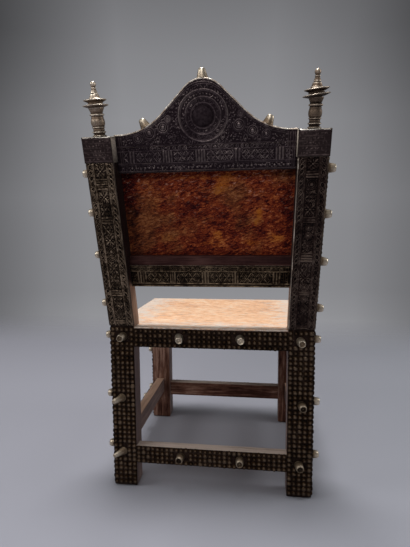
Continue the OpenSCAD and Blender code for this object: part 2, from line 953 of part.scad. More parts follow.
// A shallow saucer: flat on top, with an underside that rises from the hub to a thin rim
module finial_disc(r) {
    edge = 0.8;
    difference() {
        rotate_extrude() polygon([
            [0, 0], [collar_r, 0], [r - 1, disc_rim_z - edge], [r, disc_rim_z],
            [r - 1, disc_rim_z + edge], [collar_r, disc_t], [0, disc_t]
        ]);
        finial_bore(disc_t + 1);
    }
}

// The waisted collar between the discs
module finial_collar() {
    hollow_r = collar_h;
    difference() {
        rotate_extrude() difference() {
            square([collar_r, collar_h]);
            translate([collar_r + 0.7 * hollow_r, collar_h / 2]) circle(r = hollow_r);
        }
        finial_bore(collar_h + 1);
    }
}

module finial_spire() {
    neck_r = 0.72 * ball_r;
    base_r = 2 * ball_r;
    difference() {
        rotate_extrude() {
            polygon([
                [0, 0], [base_r, 0], [base_r, 1.5], [0.85 * base_r, 0.15 * spire_h],
                [0.66 * base_r, 0.45 * spire_h], [neck_r, 0.85 * spire_h], [neck_r, spire_h + 1],
                [0, spire_h + 1]
            ]);
            turned_ring(neck_r + 0.9, spire_h - 1, 2);
            intersection() {
                translate([0, spire_h + ball_r]) circle(r = ball_r);
                translate([0, spire_h]) square([2 * ball_r, 2 * ball_r]);
            }
        }
        finial_bore(spire_h / 2);
    }
}

module finial_rod() {
    low = -rod_depth - cap_t;
    translate([0, 0, low]) cylinder(r = rod_r, h = spire_z + spire_h / 2 - 1 - low);
}

module place_finial(side, z = 0) {
    color(brass) stand() on_side(side) finial_place() translate([0, 0, z]) children();
}

// One module a node, so that each piece of both finials has its name

module left_finial_rod() { place_finial("left") finial_rod(); }
module left_finial_baluster() { place_finial("left") finial_baluster(); }
module left_finial_lower_disc() { place_finial("left", lower_disc_z) finial_disc(lower_disc_r); }
module left_finial_collar() { place_finial("left", collar_z) finial_collar(); }
module left_finial_upper_disc() { place_finial("left", upper_disc_z) finial_disc(upper_disc_r); }
module left_finial_spire() { place_finial("left", spire_z) finial_spire(); }
module right_finial_rod() { place_finial("right") finial_rod(); }
module right_finial_baluster() { place_finial("right") finial_baluster(); }
module right_finial_lower_disc() { place_finial("right", lower_disc_z) finial_disc(lower_disc_r); }
module right_finial_collar() { place_finial("right", collar_z) finial_collar(); }
module right_finial_upper_disc() { place_finial("right", upper_disc_z) finial_disc(upper_disc_r); }
module right_finial_spire() { place_finial("right", spire_z) finial_spire(); }

// Studs on the crest, the sides, the back and the front

module crest_studs() {
    color(brass) stand() in_back() at_crest_studs()
        stud(crest_stud_d, crest_stud_tip_d, crest_stud_h);
}

module left_side_studs() {
    color(brass) stand() {
        at_post_side_studs(left_post_stud_s) stud();
        at_low_side_studs() stud();
    }
}

module right_side_studs() {
    color(brass) stand() on_side("right") {
        at_post_side_studs(right_post_stud_s) stud();
        at_low_side_studs() stud();
    }
}

module rear_studs() {
    color(brass) stand() {
        at_rear_leg_studs(left_stud_shift, left_stud_z) stud();
        mirror([1, 0, 0]) at_rear_leg_studs(right_stud_shift, right_stud_z) stud();
        rear_face(0, 0, 0) {
            at_places(rail_stud_places) stud();
            at_places(stretcher_studs(rear_stretcher_z)) stud();
        }
    }
}

module front_studs() {
    color(brass) stand() {
        both_sides() at_front_leg_studs() stud();
        front_face(0, front_y, 0) at_places(rail_stud_places) stud();
        front_face(0, front_y + front_stretcher_set, 0)
            at_places(stretcher_studs(front_stretcher_z)) stud();
    }
}

// Nail fields

// Nails cover the outer faces of a leg from the worn foot up to the seat
field_z = foot_r;

module rear_post_nails(shifts, heights) {
    rear_face(out_x, 0, field_z) nail_field(
        leg_w, bend_z - field_z, shifted_studs(leg_w / 2, -shifts, heights, field_z)
    );
    left_face(out_x, -leg_d, field_z)
        nail_field(leg_d, bend_z - field_z, studs_at(leg_d / 2, side_stud_z, field_z));
}

module front_leg_nails() {
    front_face(in_x, front_y, field_z)
        nail_field(leg_w, rail_top - roll_r - field_z, studs_at(leg_w / 2, front_stud_z, field_z));
    left_face(out_x, front_y, field_z)
        nail_field(leg_d, rail_top - roll_r - field_z, studs_at(leg_d / 2, side_stud_z, field_z));
}

// Nails on the outer face of a rail that is drawn from its middle
module rail_nails(length, z, height, studs) {
    translate([-length / 2, z, 0])
        nail_field(length, height, [for (p = studs) [p[0] + length / 2, p[1] - z]]);
}

module left_rear_post_nails() {
    color(old_brass) stand() rear_post_nails(left_stud_shift, left_stud_z);
}

module right_rear_post_nails() {
    color(old_brass) stand() on_side("right") rear_post_nails(right_stud_shift, right_stud_z);
}

module left_front_leg_nails() {
    color(old_brass) stand() front_leg_nails();
}

module right_front_leg_nails() {
    color(old_brass) stand() on_side("right") front_leg_nails();
}

module rear_seat_rail_nails() {
    color(old_brass) stand() rear_face(0, 0, 0)
        rail_nails(2 * in_x, rail_z, rail_h, rail_stud_places);
}

module front_seat_rail_nails() {
    color(old_brass) stand() front_face(0, front_y, 0)
        rail_nails(2 * in_x, rail_z, rail_h - roll_r, rail_stud_places);
}

side_l = frame_d - 2 * leg_d;

module side_seat_rail_nails() {
    color(old_brass) stand() both_sides() left_face(out_x, side_mid_y, 0)
        rail_nails(side_l, rail_z, rail_h, rail_stud_places);
}

module rear_stretcher_nails() {
    color(old_brass) stand() rear_face(0, 0, 0) rail_nails(
        2 * in_x, rear_stretcher_z, stretcher_h, stretcher_studs(rear_stretcher_z)
    );
}

module front_stretcher_nails() {
    color(old_brass) stand() front_face(0, front_y + front_stretcher_set, 0) rail_nails(
        2 * in_x, front_stretcher_z, stretcher_h, stretcher_studs(front_stretcher_z)
    );
}

module side_stretcher_nails() {
    color(old_brass) stand() both_sides() left_face(out_x - side_stretcher_set, side_mid_y, 0)
        rail_nails(side_l, side_stretcher_z, stretcher_h, stretcher_studs(side_stretcher_z));
}

// One row of nails round the edge of the back hide, seated on the hide
module back_hide_nails() {
    low = lower_s + lower_h - hide_lap / 2;
    high = crest_s + hide_lap / 2;
    rows = floor((high - low) / nail_pitch);
    edge = in_x + hide_lap / 2;
    function edge_at(s) = edge + splay_at(height_at(s, post_d));
    color(old_brass) stand() in_back() translate([0, 0, post_d + hide_t]) {
        both_sides() for (i = [0:rows]) {
            s = low + i * (high - low) / rows;
            translate([edge_at(s), s, 0]) nail();
        }
        for (s = [low, high]) {
            columns = floor(2 * edge_at(s) / nail_pitch);
            for (i = [1:columns - 1]) translate([(2 * i / columns - 1) * edge_at(s), s, 0]) nail();
        }
    }
}

left_rear_post();
right_rear_post();
left_front_leg();
right_front_leg();
rear_seat_rail();
front_seat_rail();
left_seat_rail();
right_seat_rail();
rear_stretcher();
front_stretcher();
left_stretcher();
right_stretcher();
crest_rail();
lower_back_rail();
seat_rail_pegs();
stretcher_pegs();
back_rail_pegs();
seat_hide();
back_hide();
left_post_sheet();
right_post_sheet();
left_post_cap();
right_post_cap();
crest_sheet();
crest_front_sheet();
lower_rail_sheet();
lower_rail_front_sheet();
left_finial_rod();
left_finial_baluster();
left_finial_lower_disc();
left_finial_collar();
left_finial_upper_disc();
left_finial_spire();
right_finial_rod();
right_finial_baluster();
right_finial_lower_disc();
right_finial_collar();
right_finial_upper_disc();
right_finial_spire();
crest_studs();
left_side_studs();
right_side_studs();
rear_studs();
front_studs();
left_rear_post_nails();
right_rear_post_nails();
left_front_leg_nails();
right_front_leg_nails();
rear_seat_rail_nails();
front_seat_rail_nails();
side_seat_rail_nails();
rear_stretcher_nails();
front_stretcher_nails();
side_stretcher_nails();
back_hide_nails();
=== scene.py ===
import math

import bmesh
import bpy
import numpy as np
from mathutils import Matrix, Vector


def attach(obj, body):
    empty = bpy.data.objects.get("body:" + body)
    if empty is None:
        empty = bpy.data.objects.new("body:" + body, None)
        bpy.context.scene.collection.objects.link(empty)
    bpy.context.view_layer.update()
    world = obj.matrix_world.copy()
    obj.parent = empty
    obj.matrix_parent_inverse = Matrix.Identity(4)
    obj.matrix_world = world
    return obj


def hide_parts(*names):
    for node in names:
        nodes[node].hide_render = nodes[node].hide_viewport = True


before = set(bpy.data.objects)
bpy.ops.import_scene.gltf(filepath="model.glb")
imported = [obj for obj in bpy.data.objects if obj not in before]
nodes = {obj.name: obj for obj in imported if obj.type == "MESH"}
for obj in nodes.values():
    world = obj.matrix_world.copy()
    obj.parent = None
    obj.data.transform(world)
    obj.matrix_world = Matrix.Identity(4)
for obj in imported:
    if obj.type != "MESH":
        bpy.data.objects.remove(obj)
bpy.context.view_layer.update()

# The chair's measures, in millimetres, as the CAD has them. x is across, positive to the left
# from behind, s runs up a rear post from the seat, and t forwards from its back face.
LEAN, SPLAY = math.radians(13.3), math.radians(1.3)
BACK_Y, BEND_Z = 151.336, 371.0
POST_IN, LEG_W, LEG_D, POST_D = 167.0, 53.0, 40.0, 41.107
FRAME_W, FRAME_D = 440.0, 395.0
BACK_SET, SHEET_T, CAP_T = 25.0, 1.2, 2.5
SHEET_S, CAP_S, POST_L = 4.0, 350.0, 395.0
CREST_S, CREST_END_S, LOWER_S, LOWER_TOP_S = 327.0, 398.0, 87.0, 134.6
PEAK_S, PEAK_R, SHOULDER_X, SHOULDER_S, SHOULDER_R = 443.0, 48.0, 168.0, 528.0, 130.0
TILT = (math.asin((PEAK_R + SHOULDER_R) / math.hypot(SHOULDER_X, SHOULDER_S - PEAK_S))
        - math.atan2(SHOULDER_S - PEAK_S, SHOULDER_X))
MEDAL_S = 428.0
HIDE_S, HIDE_T, HIDE_LAP = (139.0, 341.0), 3.0, 14.0
SEAT_T, ROLL_R = 3.0, 7.0
# Where the seat hide is notched round the rear posts
NOTCH_X, NOTCH_Y = 166.6, BACK_Y - LEG_D - 0.4
SIDES = {"left": 1, "right": -1}


def in_back(x, s, t):
    """The world places, in metres, of places in the leaning back."""
    y = BACK_Y + s * math.sin(LEAN) - t * math.cos(LEAN)
    z = BEND_Z + s * math.cos(LEAN) + t * math.sin(LEAN)
    return np.stack(np.broadcast_arrays(x, y, z), -1) / 1000


def inner_x(s, t):
    """How far out the inner face of a post is."""
    return POST_IN + (s * math.cos(LEAN) + t * math.sin(LEAN)) * math.tan(SPLAY)


def crest_top(x):
    """The height s of the crest's top edge: a round peak, straight flanks and hollow shoulders."""
    x = np.abs(x)
    low = PEAK_R * math.sin(TILT), SHOULDER_X - SHOULDER_R * math.sin(TILT)
    peak = PEAK_S + np.sqrt(np.clip(PEAK_R ** 2 - x ** 2, 0, None))
    hollow = SHOULDER_S - np.sqrt(np.clip(SHOULDER_R ** 2 - (x - SHOULDER_X) ** 2, 0, None))
    ends = PEAK_S + PEAK_R * math.cos(TILT), SHOULDER_S - SHOULDER_R * math.cos(TILT)
    return np.select([x < low[0], x < low[1], x < SHOULDER_X],
                     [peak, np.interp(x, low, ends), hollow], CREST_END_S)


def unit(turn):
    """The x and y of a step of length 1, in a direction in degrees."""
    return math.cos(math.radians(turn)), math.sin(math.radians(turn))


def eased(f):
    """f from 0 to 1 with a soft start and end."""
    return f * f * (3 - 2 * f)


def noise(x, y, cell, seed):
    """Smooth noise from -1 to 1 whose features are about one cell wide."""
    table = np.random.default_rng(seed).uniform(-1, 1, (64, 64))
    gx, gy = np.asarray(x) / cell, np.asarray(y) / cell
    ix, iy = np.floor(gx).astype(int), np.floor(gy).astype(int)
    fx, fy = eased(gx - ix), eased(gy - iy)
    near = [[table[(iy + j) % 64, (ix + i) % 64] for i in (0, 1)] for j in (0, 1)]
    low, high = (row[0] * (1 - fx) + row[1] * fx for row in near)
    return low * (1 - fy) + high * fy


# ---------------------------------------------------------------- materials


class Nodes:
    """A tree of shader nodes under construction. Its methods take sockets or constants."""

    def __init__(self, tree):
        self.tree = tree

    def put(self, socket, value):
        if isinstance(value, bpy.types.NodeSocket):
            self.tree.links.new(value, socket)
        else:
            plain_colour = socket.type == "RGBA" and len(value) == 3
            socket.default_value = (*value, 1) if plain_colour else value

    def add(self, kind, inputs=None, out=0, **settings):
        """A new node of the kind. Gives one of its outputs."""
        made = self.tree.nodes.new("ShaderNode" + kind)
        for key, value in settings.items():
            setattr(made, key, value)
        for key, value in (inputs or {}).items():
            self.put(made.inputs[key], value)
        return made.outputs[out]

    def sum(self, a, b, by=1.0):
        """a plus b times by."""
        return self.add("Math", {0: b, 1: by, 2: a}, operation="MULTIPLY_ADD")

    def times(self, a, b):
        return self.add("Math", {0: a, 1: b}, operation="MULTIPLY")

    def larger(self, a, b):
        return self.add("Math", {0: a, 1: b}, operation="MAXIMUM")

    def axis(self, where, letter):
        """One coordinate of a place or direction."""
        return self.add("SeparateXYZ", {0: where}, out=letter)

    def level(self, factor, low, high, a=0.0, b=1.0):
        """factor taken from low..high to a..b and held there."""
        return self.add("MapRange", {0: factor, 1: low, 2: high, 3: a, 4: b})

    def mix(self, factor, a, b, blend="MIX"):
        return self.add("Mix", {0: factor, 6: a, 7: b}, 2, data_type="RGBA", blend_type=blend)

    def ramp(self, factor, *stops):
        """Colours along a factor, given as (place, colour)."""
        made = self.tree.nodes.new("ShaderNodeValToRGB")
        self.put(made.inputs[0], factor)
        elements = made.color_ramp.elements
        while len(elements) < len(stops):
            elements.new(0.5)
        for element, (place, colour) in zip(elements, stops):
            element.position = place
            element.color = (*colour, 1)
        return made.outputs[0]


class Look(Nodes):
    """A material under construction."""

    def __init__(self, name):
        self.material = bpy.data.materials.new(name)
        self.material.use_nodes = True
        super().__init__(self.material.node_tree)

    def finish(self, **values):
        """Sets the shader's own sockets. Gives the material."""
        shader = self.tree.nodes["Principled BSDF"]
        for key, value in values.items():
            self.put(shader.inputs[key.replace("_", " ")], value)
        return self.material

    def coats(self, colour, *coats):
        """The colour under coats, each (cover, colour), the last one on top."""
        for cover, coat in coats:
            colour = self.mix(cover, colour, coat)
        return colour

    def attribute(self, name):
        return self.add("Attribute", out="Fac", attribute_name=name)

    def places(self, scale=(1, 1, 1)):
        """Object coordinates in metres, stretched."""
        where = self.add("TexCoord", out="Object")
        return self.add("Mapping", {"Vector": where, "Scale": scale})

    def noise(self, where, scale, detail=4.0, rough=0.55, twist=0.0):
        return self.add("TexNoise", {"Vector": where, "Scale": scale, "Detail": detail,
                                     "Roughness": rough, "Distortion": twist})

    def streaks(self, scale, detail, rough, twist=0.0):
        """Noise on stretched places."""
        return self.noise(self.places(scale), 1.0, detail, rough, twist)

    def slanted(self, lengths, turn, detail, rough, twist):
        """Noise with features of the lengths given, along axes turned about y."""
        where = self.add("Mapping", {"Vector": self.add("TexCoord", out="Object"),
                                     "Scale": lengths, "Rotation": (0, turn, 0)},
                         vector_type="TEXTURE")
        return self.noise(where, 1.0, detail, rough, twist)

    def bump(self, height, distance, strength, normal=None):
        inputs = {"Height": height, "Distance": distance, "Strength": strength}
        if normal is not None:
            inputs["Normal"] = normal
        return self.add("Bump", inputs)

    def normal(self):
        return self.add("NewGeometry", out="True Normal")

    def dot(self, a, b):
        return self.add("VectorMath", {0: a, 1: b}, "Value", operation="DOT_PRODUCT")

    def outward(self, *axes):
        """Above 0 on faces that look away from the chair's middle along the axes, else below."""
        return self.dot(self.places(axes), self.normal())

    def worn_edges(self, radius):
        """About 1 on edges that get rubbed, 0 on flat faces, and the rounded normal."""
        soft = self.add("Bevel", {"Radius": radius}, samples=6)
        return self.level(self.dot(soft, self.normal()), 0.995, 0.86), soft


# The third of these, near black, is painted shade for the recess beside the back hide.
DUST, SOOT, RECESS_SHADE = (0.03, 0.022, 0.020), (0.005, 0.003, 0.002), (0.012, 0.004, 0.006)
# Painted light and shade on the sheet turned in at the inner side of a post: the first is a pale
# tan painted highlight, the second painted shade.
PAINTED_LIGHT_SHEET, PAINTED_SHADE_SHEET = (0.90, 0.76, 0.62), (0.010, 0.004, 0.006)
# Painted light on the inner sides of the posts over the seat, where light thrown off the seat
# falls, and a pale grey for dust and a painted sheen under the seat.
PAINTED_LIGHT_WOOD, DUST_AND_SHEEN_WOOD = (0.42, 0.285, 0.215), (0.30, 0.235, 0.225)
# The stretchers' tops, paler with dust and with painted light.
SIDE_STRETCHER_TOP, STRETCHER_TOP = (0.62, 0.42, 0.31), (0.54, 0.45, 0.39)
# Old metal and wood hardly shine at all.
DULL = 0.07


def old_brass(kind, dark, middle, bright):
    """Brass under a dark patina, rubbed bright where it stands proud; this brightness is in part a
    painted highlight.
    """
    look = Look("old_brass_" + kind)
    here = look.places()
    cloud = look.noise(here, 22, 5)
    fine = look.noise(here, 420, 3, 0.7)
    if kind == "plain":
        raised, normal = look.worn_edges(0.0012)
        raised = look.sum(0.3, raised, 0.7)
    else:
        raised, normal = look.sum(look.attribute("lift"), look.attribute("tone"), 0.5), None
    raised = look.sum(raised, look.sum(-0.5, fine), 0.5)
    raised = look.sum(raised, look.sum(-0.5, cloud), 0.6)
    colour = look.ramp(raised, (0.05, dark), (0.5, middle), (1.0, bright))
    colour = look.mix(look.level(cloud, 0.45, 0.75, 0, 0.3), colour, DUST)
    metal = look.level(raised, 0.1, 1.0, 0.45, 0.9)
    if kind == "plain":
        # painted light and shade on the sheet turned in at the inner side of a post: a pale tan
        # painted highlight near its top, and painted shade below
        inner = look.level(look.outward(1, 0, 0), -0.05, -0.12)
        height = look.axis(look.add("TexCoord", out="Object"), "Z")
        rubbed_and_lit = look.times(inner, look.level(look.sum(height, fine, 0.08), 0.735, 0.80))
        painted_shade = look.times(inner, look.level(height, 0.72, 0.69, 0, 0.75))
        colour = look.coats(colour, (painted_shade, PAINTED_SHADE_SHEET), (rubbed_and_lit, PAINTED_LIGHT_SHEET))
        metal = look.times(metal, look.sum(1.0, rubbed_and_lit, -1.0))
    rough = (0.48, 0.28) if kind == "nails" else (0.58, 0.32)
    return look.finish(Base_Color=colour, Metallic=metal, Specular_IOR_Level=DULL,
                       Roughness=look.level(look.sum(raised, fine, 0.3), 0.2, 1.2, *rough),
                       Normal=look.bump(look.sum(fine, cloud, 0.6), 0.0003, 0.7, normal))


def old_wood(name, grain, dark, middle, pale, grime=0.9, recess_shade=0.93):
    """Hardwood with long grain along one axis, dark where handled, pale on its worn edges, where it
    is also a painted highlight, with painted light and shade on some faces.
    """
    look = Look(name)

    def along_grain(fine, *how):
        stretch = tuple(fine * (9.0 if axis == grain else 130.0) for axis in range(3))
        return look.streaks(stretch, *how)
    here = look.places()
    fibres = along_grain(1.0, 8, 0.65, 0.4)
    pores = along_grain(4.5, 3, 0.6)
    scratches = along_grain(2.2, 6, 0.75, 0.6)
    cloud = look.noise(here, 9, 5, 0.6)
    rubbed_and_lit, soft = look.worn_edges(0.002)
    height = look.axis(here, "Z")
    tone = look.sum(look.sum(fibres, look.sum(-0.5, cloud), 0.9), look.sum(-0.5, scratches), 0.8)
    # painted shade: the wood is darker towards -x, the side away from the light
    tone = look.sum(tone, look.level(look.axis(here, "X"), -0.22, 0.22, -0.12, 0.0))
    inner = look.level(look.outward(1, 0, 0), -0.05, -0.12)
    over_seat = look.times(inner, look.level(height, 0.366, 0.372))
    under_seat = look.times(inner, look.level(height, 0.366, 0.360, 0, 0.6))
    top = look.times(look.level(look.axis(look.normal(), "Z"), 0.6, 0.9),
                     look.level(height, 0.16, 0.14))
    wood = look.coats(
        look.ramp(tone, (0.3, dark), (0.52, middle), (0.75, pale)),
        (look.level(pores, 0.6, 0.7, 0, 0.55), tuple(0.35 * c for c in dark)),
        # the edges are paler with wear, and as a painted highlight along them
        (look.times(rubbed_and_lit, look.level(cloud, 0.3, 0.7, 0.2, 0.8)), tuple(1.25 * c for c in pale)),
        # soot and dirt have settled between the nails, on the faces that look outwards
        (look.level(look.outward(1, 1, 0), 0.05, 0.1, 0, grime), SOOT),
        # painted light on the inner sides of the posts over the seat, where light thrown off the
        # seat falls; under it they are pale with dust and a painted sheen; and painted shade
        # darkens all the wood above about 0.47 m, for the recess beside the back hide
        (look.times(over_seat, look.level(tone, 0.2, 0.6, 0.5, 0.95)), PAINTED_LIGHT_WOOD),
        (look.level(height, 0.462, 0.476, 0, recess_shade), RECESS_SHADE),
        (under_seat, DUST_AND_SHEEN_WOOD),
        # the tops of the stretchers are rubbed and dusty, and paler with painted light where the
        # light falls on them
        (look.times(top, look.level(tone, 0.2, 0.55, 0.55, 0.95)),
         SIDE_STRETCHER_TOP if grain == 1 else STRETCHER_TOP))
    return look.finish(Base_Color=wood, Specular_IOR_Level=DULL,
                       Roughness=look.level(tone, 0.3, 0.8, 0.62, 0.45),
                       Normal=look.bump(look.sum(fibres, pores, -0.6), 0.0006, 0.6, soft))


# The dark, middle and bright tones of each kind of brass.
BRASS_TONES = {
    # the crest's dim, low-contrast tones paint the shade it stands in
    "crest": ((0.017, 0.010, 0.013), (0.058, 0.041, 0.045), (0.17, 0.132, 0.125)),
    "caps": ((0.03, 0.019, 0.019), (0.10, 0.070, 0.066), (0.30, 0.23, 0.20)),
    "sheet": ((0.005, 0.003, 0.0025), (0.044, 0.028, 0.017), (0.33, 0.24, 0.165)),
    "sheet_lower": ((0.005, 0.003, 0.002), (0.036, 0.021, 0.012), (0.22, 0.155, 0.095)),
    # the right post's sheet: a darker copy of the sheet, painted shade on the side away from the
    # light
    "sheet_shaded": ((0.004, 0.002, 0.002), (0.032, 0.018, 0.015), (0.14, 0.10, 0.078)),
    # folded edges: rubbed, and painted up to a near-white highlight
    "highlit_folds": ((0.07, 0.046, 0.034), (0.42, 0.31, 0.23), (0.95, 0.86, 0.74)),
    "plain": ((0.014, 0.010, 0.010), (0.055, 0.041, 0.037), (0.24, 0.18, 0.13)),
    "nails": ((0.004, 0.0017, 0.0006), (0.036, 0.018, 0.008), (0.165, 0.115, 0.075)),
    "studs": ((0.010, 0.006, 0.004), (0.22, 0.155, 0.10), (0.80, 0.69, 0.54)),
    "finials": ((0.02, 0.012, 0.009), (0.24, 0.17, 0.12), (0.85, 0.74, 0.60)),
}
BRASS = {kind: old_brass(kind, *tones) for kind, tones in BRASS_TONES.items()}
WOOD_TONES = (0.05, 0.019, 0.013), (0.17, 0.078, 0.053), (0.42, 0.26, 0.19)
DARK_WOOD_TONES = (0.02, 0.006, 0.006), (0.045, 0.016, 0.014), (0.09, 0.040, 0.034)
wood_looks = [old_wood(f"hardwood_{letter}", i, *WOOD_TONES) for i, letter in enumerate("xyz")]
bevel_look = old_wood("hardwood_dark", 0, *DARK_WOOD_TONES, 0.0, 0.0)


def seat_hide_look():
    """Orange-brown skin, painted pale peach in part as a sheen of the light on it, with streaks
    across it, scuffed and stained along its edges.
    """
    look = Look("seat_hide")
    here = look.places()
    dashes = look.streaks((48, 120, 60), 4, 0.75, 0.4)
    streaks = look.streaks((22, 75, 60), 5, 0.7, 0.6)
    cloud = look.streaks((7, 14, 9), 5, 0.62)
    scuffs = look.streaks((30, 95, 60), 6, 0.8, 0.8)
    stain = look.streaks((34, 110, 90), 6, 0.78)
    fine = look.noise(here, 900, 2, 0.6)
    tone = look.sum(look.sum(look.sum(-1.1, dashes, 1.5), streaks, 1.0), cloud, 0.7)
    side = look.add("Math", {0: look.axis(here, "X")}, operation="ABSOLUTE")
    deep = look.axis(here, "Y")
    edge = look.larger(look.level(side, 0.11, 0.20), look.level(deep, 0.05, 0.14))
    edge = look.larger(edge, look.level(deep, -0.215, -0.25))
    chalk = look.level(look.sum(scuffs, edge, 0.16), 0.55, 0.66, 0, 0.8)
    stained = look.level(look.sum(stain, edge, 0.07), 0.62, 0.71, 0, 0.75)
    # the pale peach tones of the ramp are in part a painted sheen of the light on the skin
    colour = look.coats(
        look.ramp(tone, (0.18, (0.52, 0.29, 0.19)), (0.36, (0.76, 0.42, 0.24)),
                  (0.50, (0.88, 0.51, 0.29)), (0.64, (0.93, 0.60, 0.38)),
                  (0.85, (0.95, 0.76, 0.58))),
        (chalk, (0.76, 0.69, 0.62)), (stained, (0.38, 0.27, 0.22)))
    return look.finish(Base_Color=colour, Specular_IOR_Level=0.25,
                       Roughness=look.level(streaks, 0.3, 0.7, 0.5, 0.72),
                       Normal=look.bump(look.sum(dashes, fine, 0.3), 0.0008, 0.6))


def back_hide_look():
    """Dark red skin with olive and pink places, painted golden where light would come through it
    and darker where the frame shades it.
    """
    look = Look("back_hide")
    here = look.places()
    glow = look.attribute("lift")
    hairs = look.slanted((0.013, 0.01, 0.0038), 0.30, 4, 0.72, 0.9)
    fine = look.slanted((0.0062, 0.005, 0.0034), 0.10, 5, 0.85, 0.4)
    patch = look.slanted((0.038, 0.04, 0.026), 0.50, 5, 0.68, 0.8)
    flecks = look.slanted((0.0105, 0.006, 0.0042), 0.12, 3, 0.7, 0.9)
    broad = look.noise(here, 11, 3, 0.5)
    grit = look.sum(look.sum(-1.0, hairs, 1.0), fine, 1.0)
    tone = look.sum(look.sum(-0.18, grit, 1.9), patch, 1.1)
    tone = look.sum(look.sum(tone, broad, 0.3), glow, 0.32)
    gold = look.level(look.sum(look.sum(glow, grit, 1.5), patch, 0.5), 0.55, 1.2, 0, 0.9)
    olive = look.level(look.sum(broad, patch, 0.7), 0.80, 1.0, 0, 0.6)
    # pinkish flecks where the skin is scuffed, most of all near the top
    near_top = look.level(look.sum(look.axis(here, "Z"), patch, 0.10), 0.64, 0.74, 0.10, 0.9)
    colour = look.coats(
        look.ramp(tone, (0.10, (0.016, 0.002, 0.003)), (0.32, (0.068, 0.008, 0.006)),
                  (0.50, (0.155, 0.021, 0.008)), (0.66, (0.25, 0.044, 0.013)),
                  (0.82, (0.38, 0.09, 0.026)), (1.05, (0.64, 0.26, 0.10))),
        (gold, (0.46, 0.135, 0.010)),
        (olive, look.ramp(tone, (0.2, (0.014, 0.006, 0.003)), (0.8, (0.14, 0.058, 0.022)))),
        (look.times(look.level(flecks, 0.60, 0.68), near_top), (0.52, 0.25, 0.17)))
    return look.finish(Base_Color=colour, Specular_IOR_Level=0.05,
                       Roughness=look.level(hairs, 0.3, 0.7, 0.42, 0.6),
                       Normal=look.bump(look.sum(hairs, fine, 0.8), 0.0012, 0.7))


# ---------------------------------------------------------------- pieces


def piece(name, places, faces, material, lift=None, tone=None, replaces=()):
    """A smooth mesh that rides with the chair. places are in metres, lift and tone per vertex."""
    mesh = bpy.data.meshes.new(name)
    mesh.from_pydata(np.asarray(places).reshape(-1, 3).tolist(), [], faces)
    for key, values in (("lift", lift), ("tone", tone)):
        if values is not None:
            mesh.attributes.new(key, "FLOAT", "POINT").data.foreach_set(
                "value", np.asarray(values, dtype=np.float32).ravel())
    work = bmesh.new()
    work.from_mesh(mesh)
    bmesh.ops.recalc_face_normals(work, faces=work.faces)
    work.to_mesh(mesh)
    work.free()
    mesh.shade_smooth()
    mesh.materials.append(material)
    made = bpy.data.objects.new(name, mesh)
    bpy.context.scene.collection.objects.link(made)
    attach(made, "root")
    if replaces:
        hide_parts(*replaces)
    return made


def grid_faces(rows, cols, start=0, wrap=False):
    """Quads of a grid of vertices, row by row. With wrap the last column joins the first."""
    index = start + np.arange(rows * cols).reshape(rows, cols)
    right = np.roll(index, -1, 1) if wrap else index[:, 1:]
    left = index if wrap else index[:, :-1]
    quads = np.stack([left[:-1], right[:-1], right[1:], left[1:]], -1).reshape(-1, 4)
    return quads.tolist()


def edge_loop(rows, cols):
    """Vertex numbers round the edge of a grid, in order."""
    index = np.arange(rows * cols).reshape(rows, cols)
    return np.concatenate([index[0, :-1], index[:-1, -1], index[-1, :0:-1], index[:0:-1, 0]])


# What lies beyond a figure's ends is further off its lines than any stroke is wide.
FAR_OFF = 9.0
CORNERS = ((-1, -1), (-1, 1), (1, -1), (1, 1))


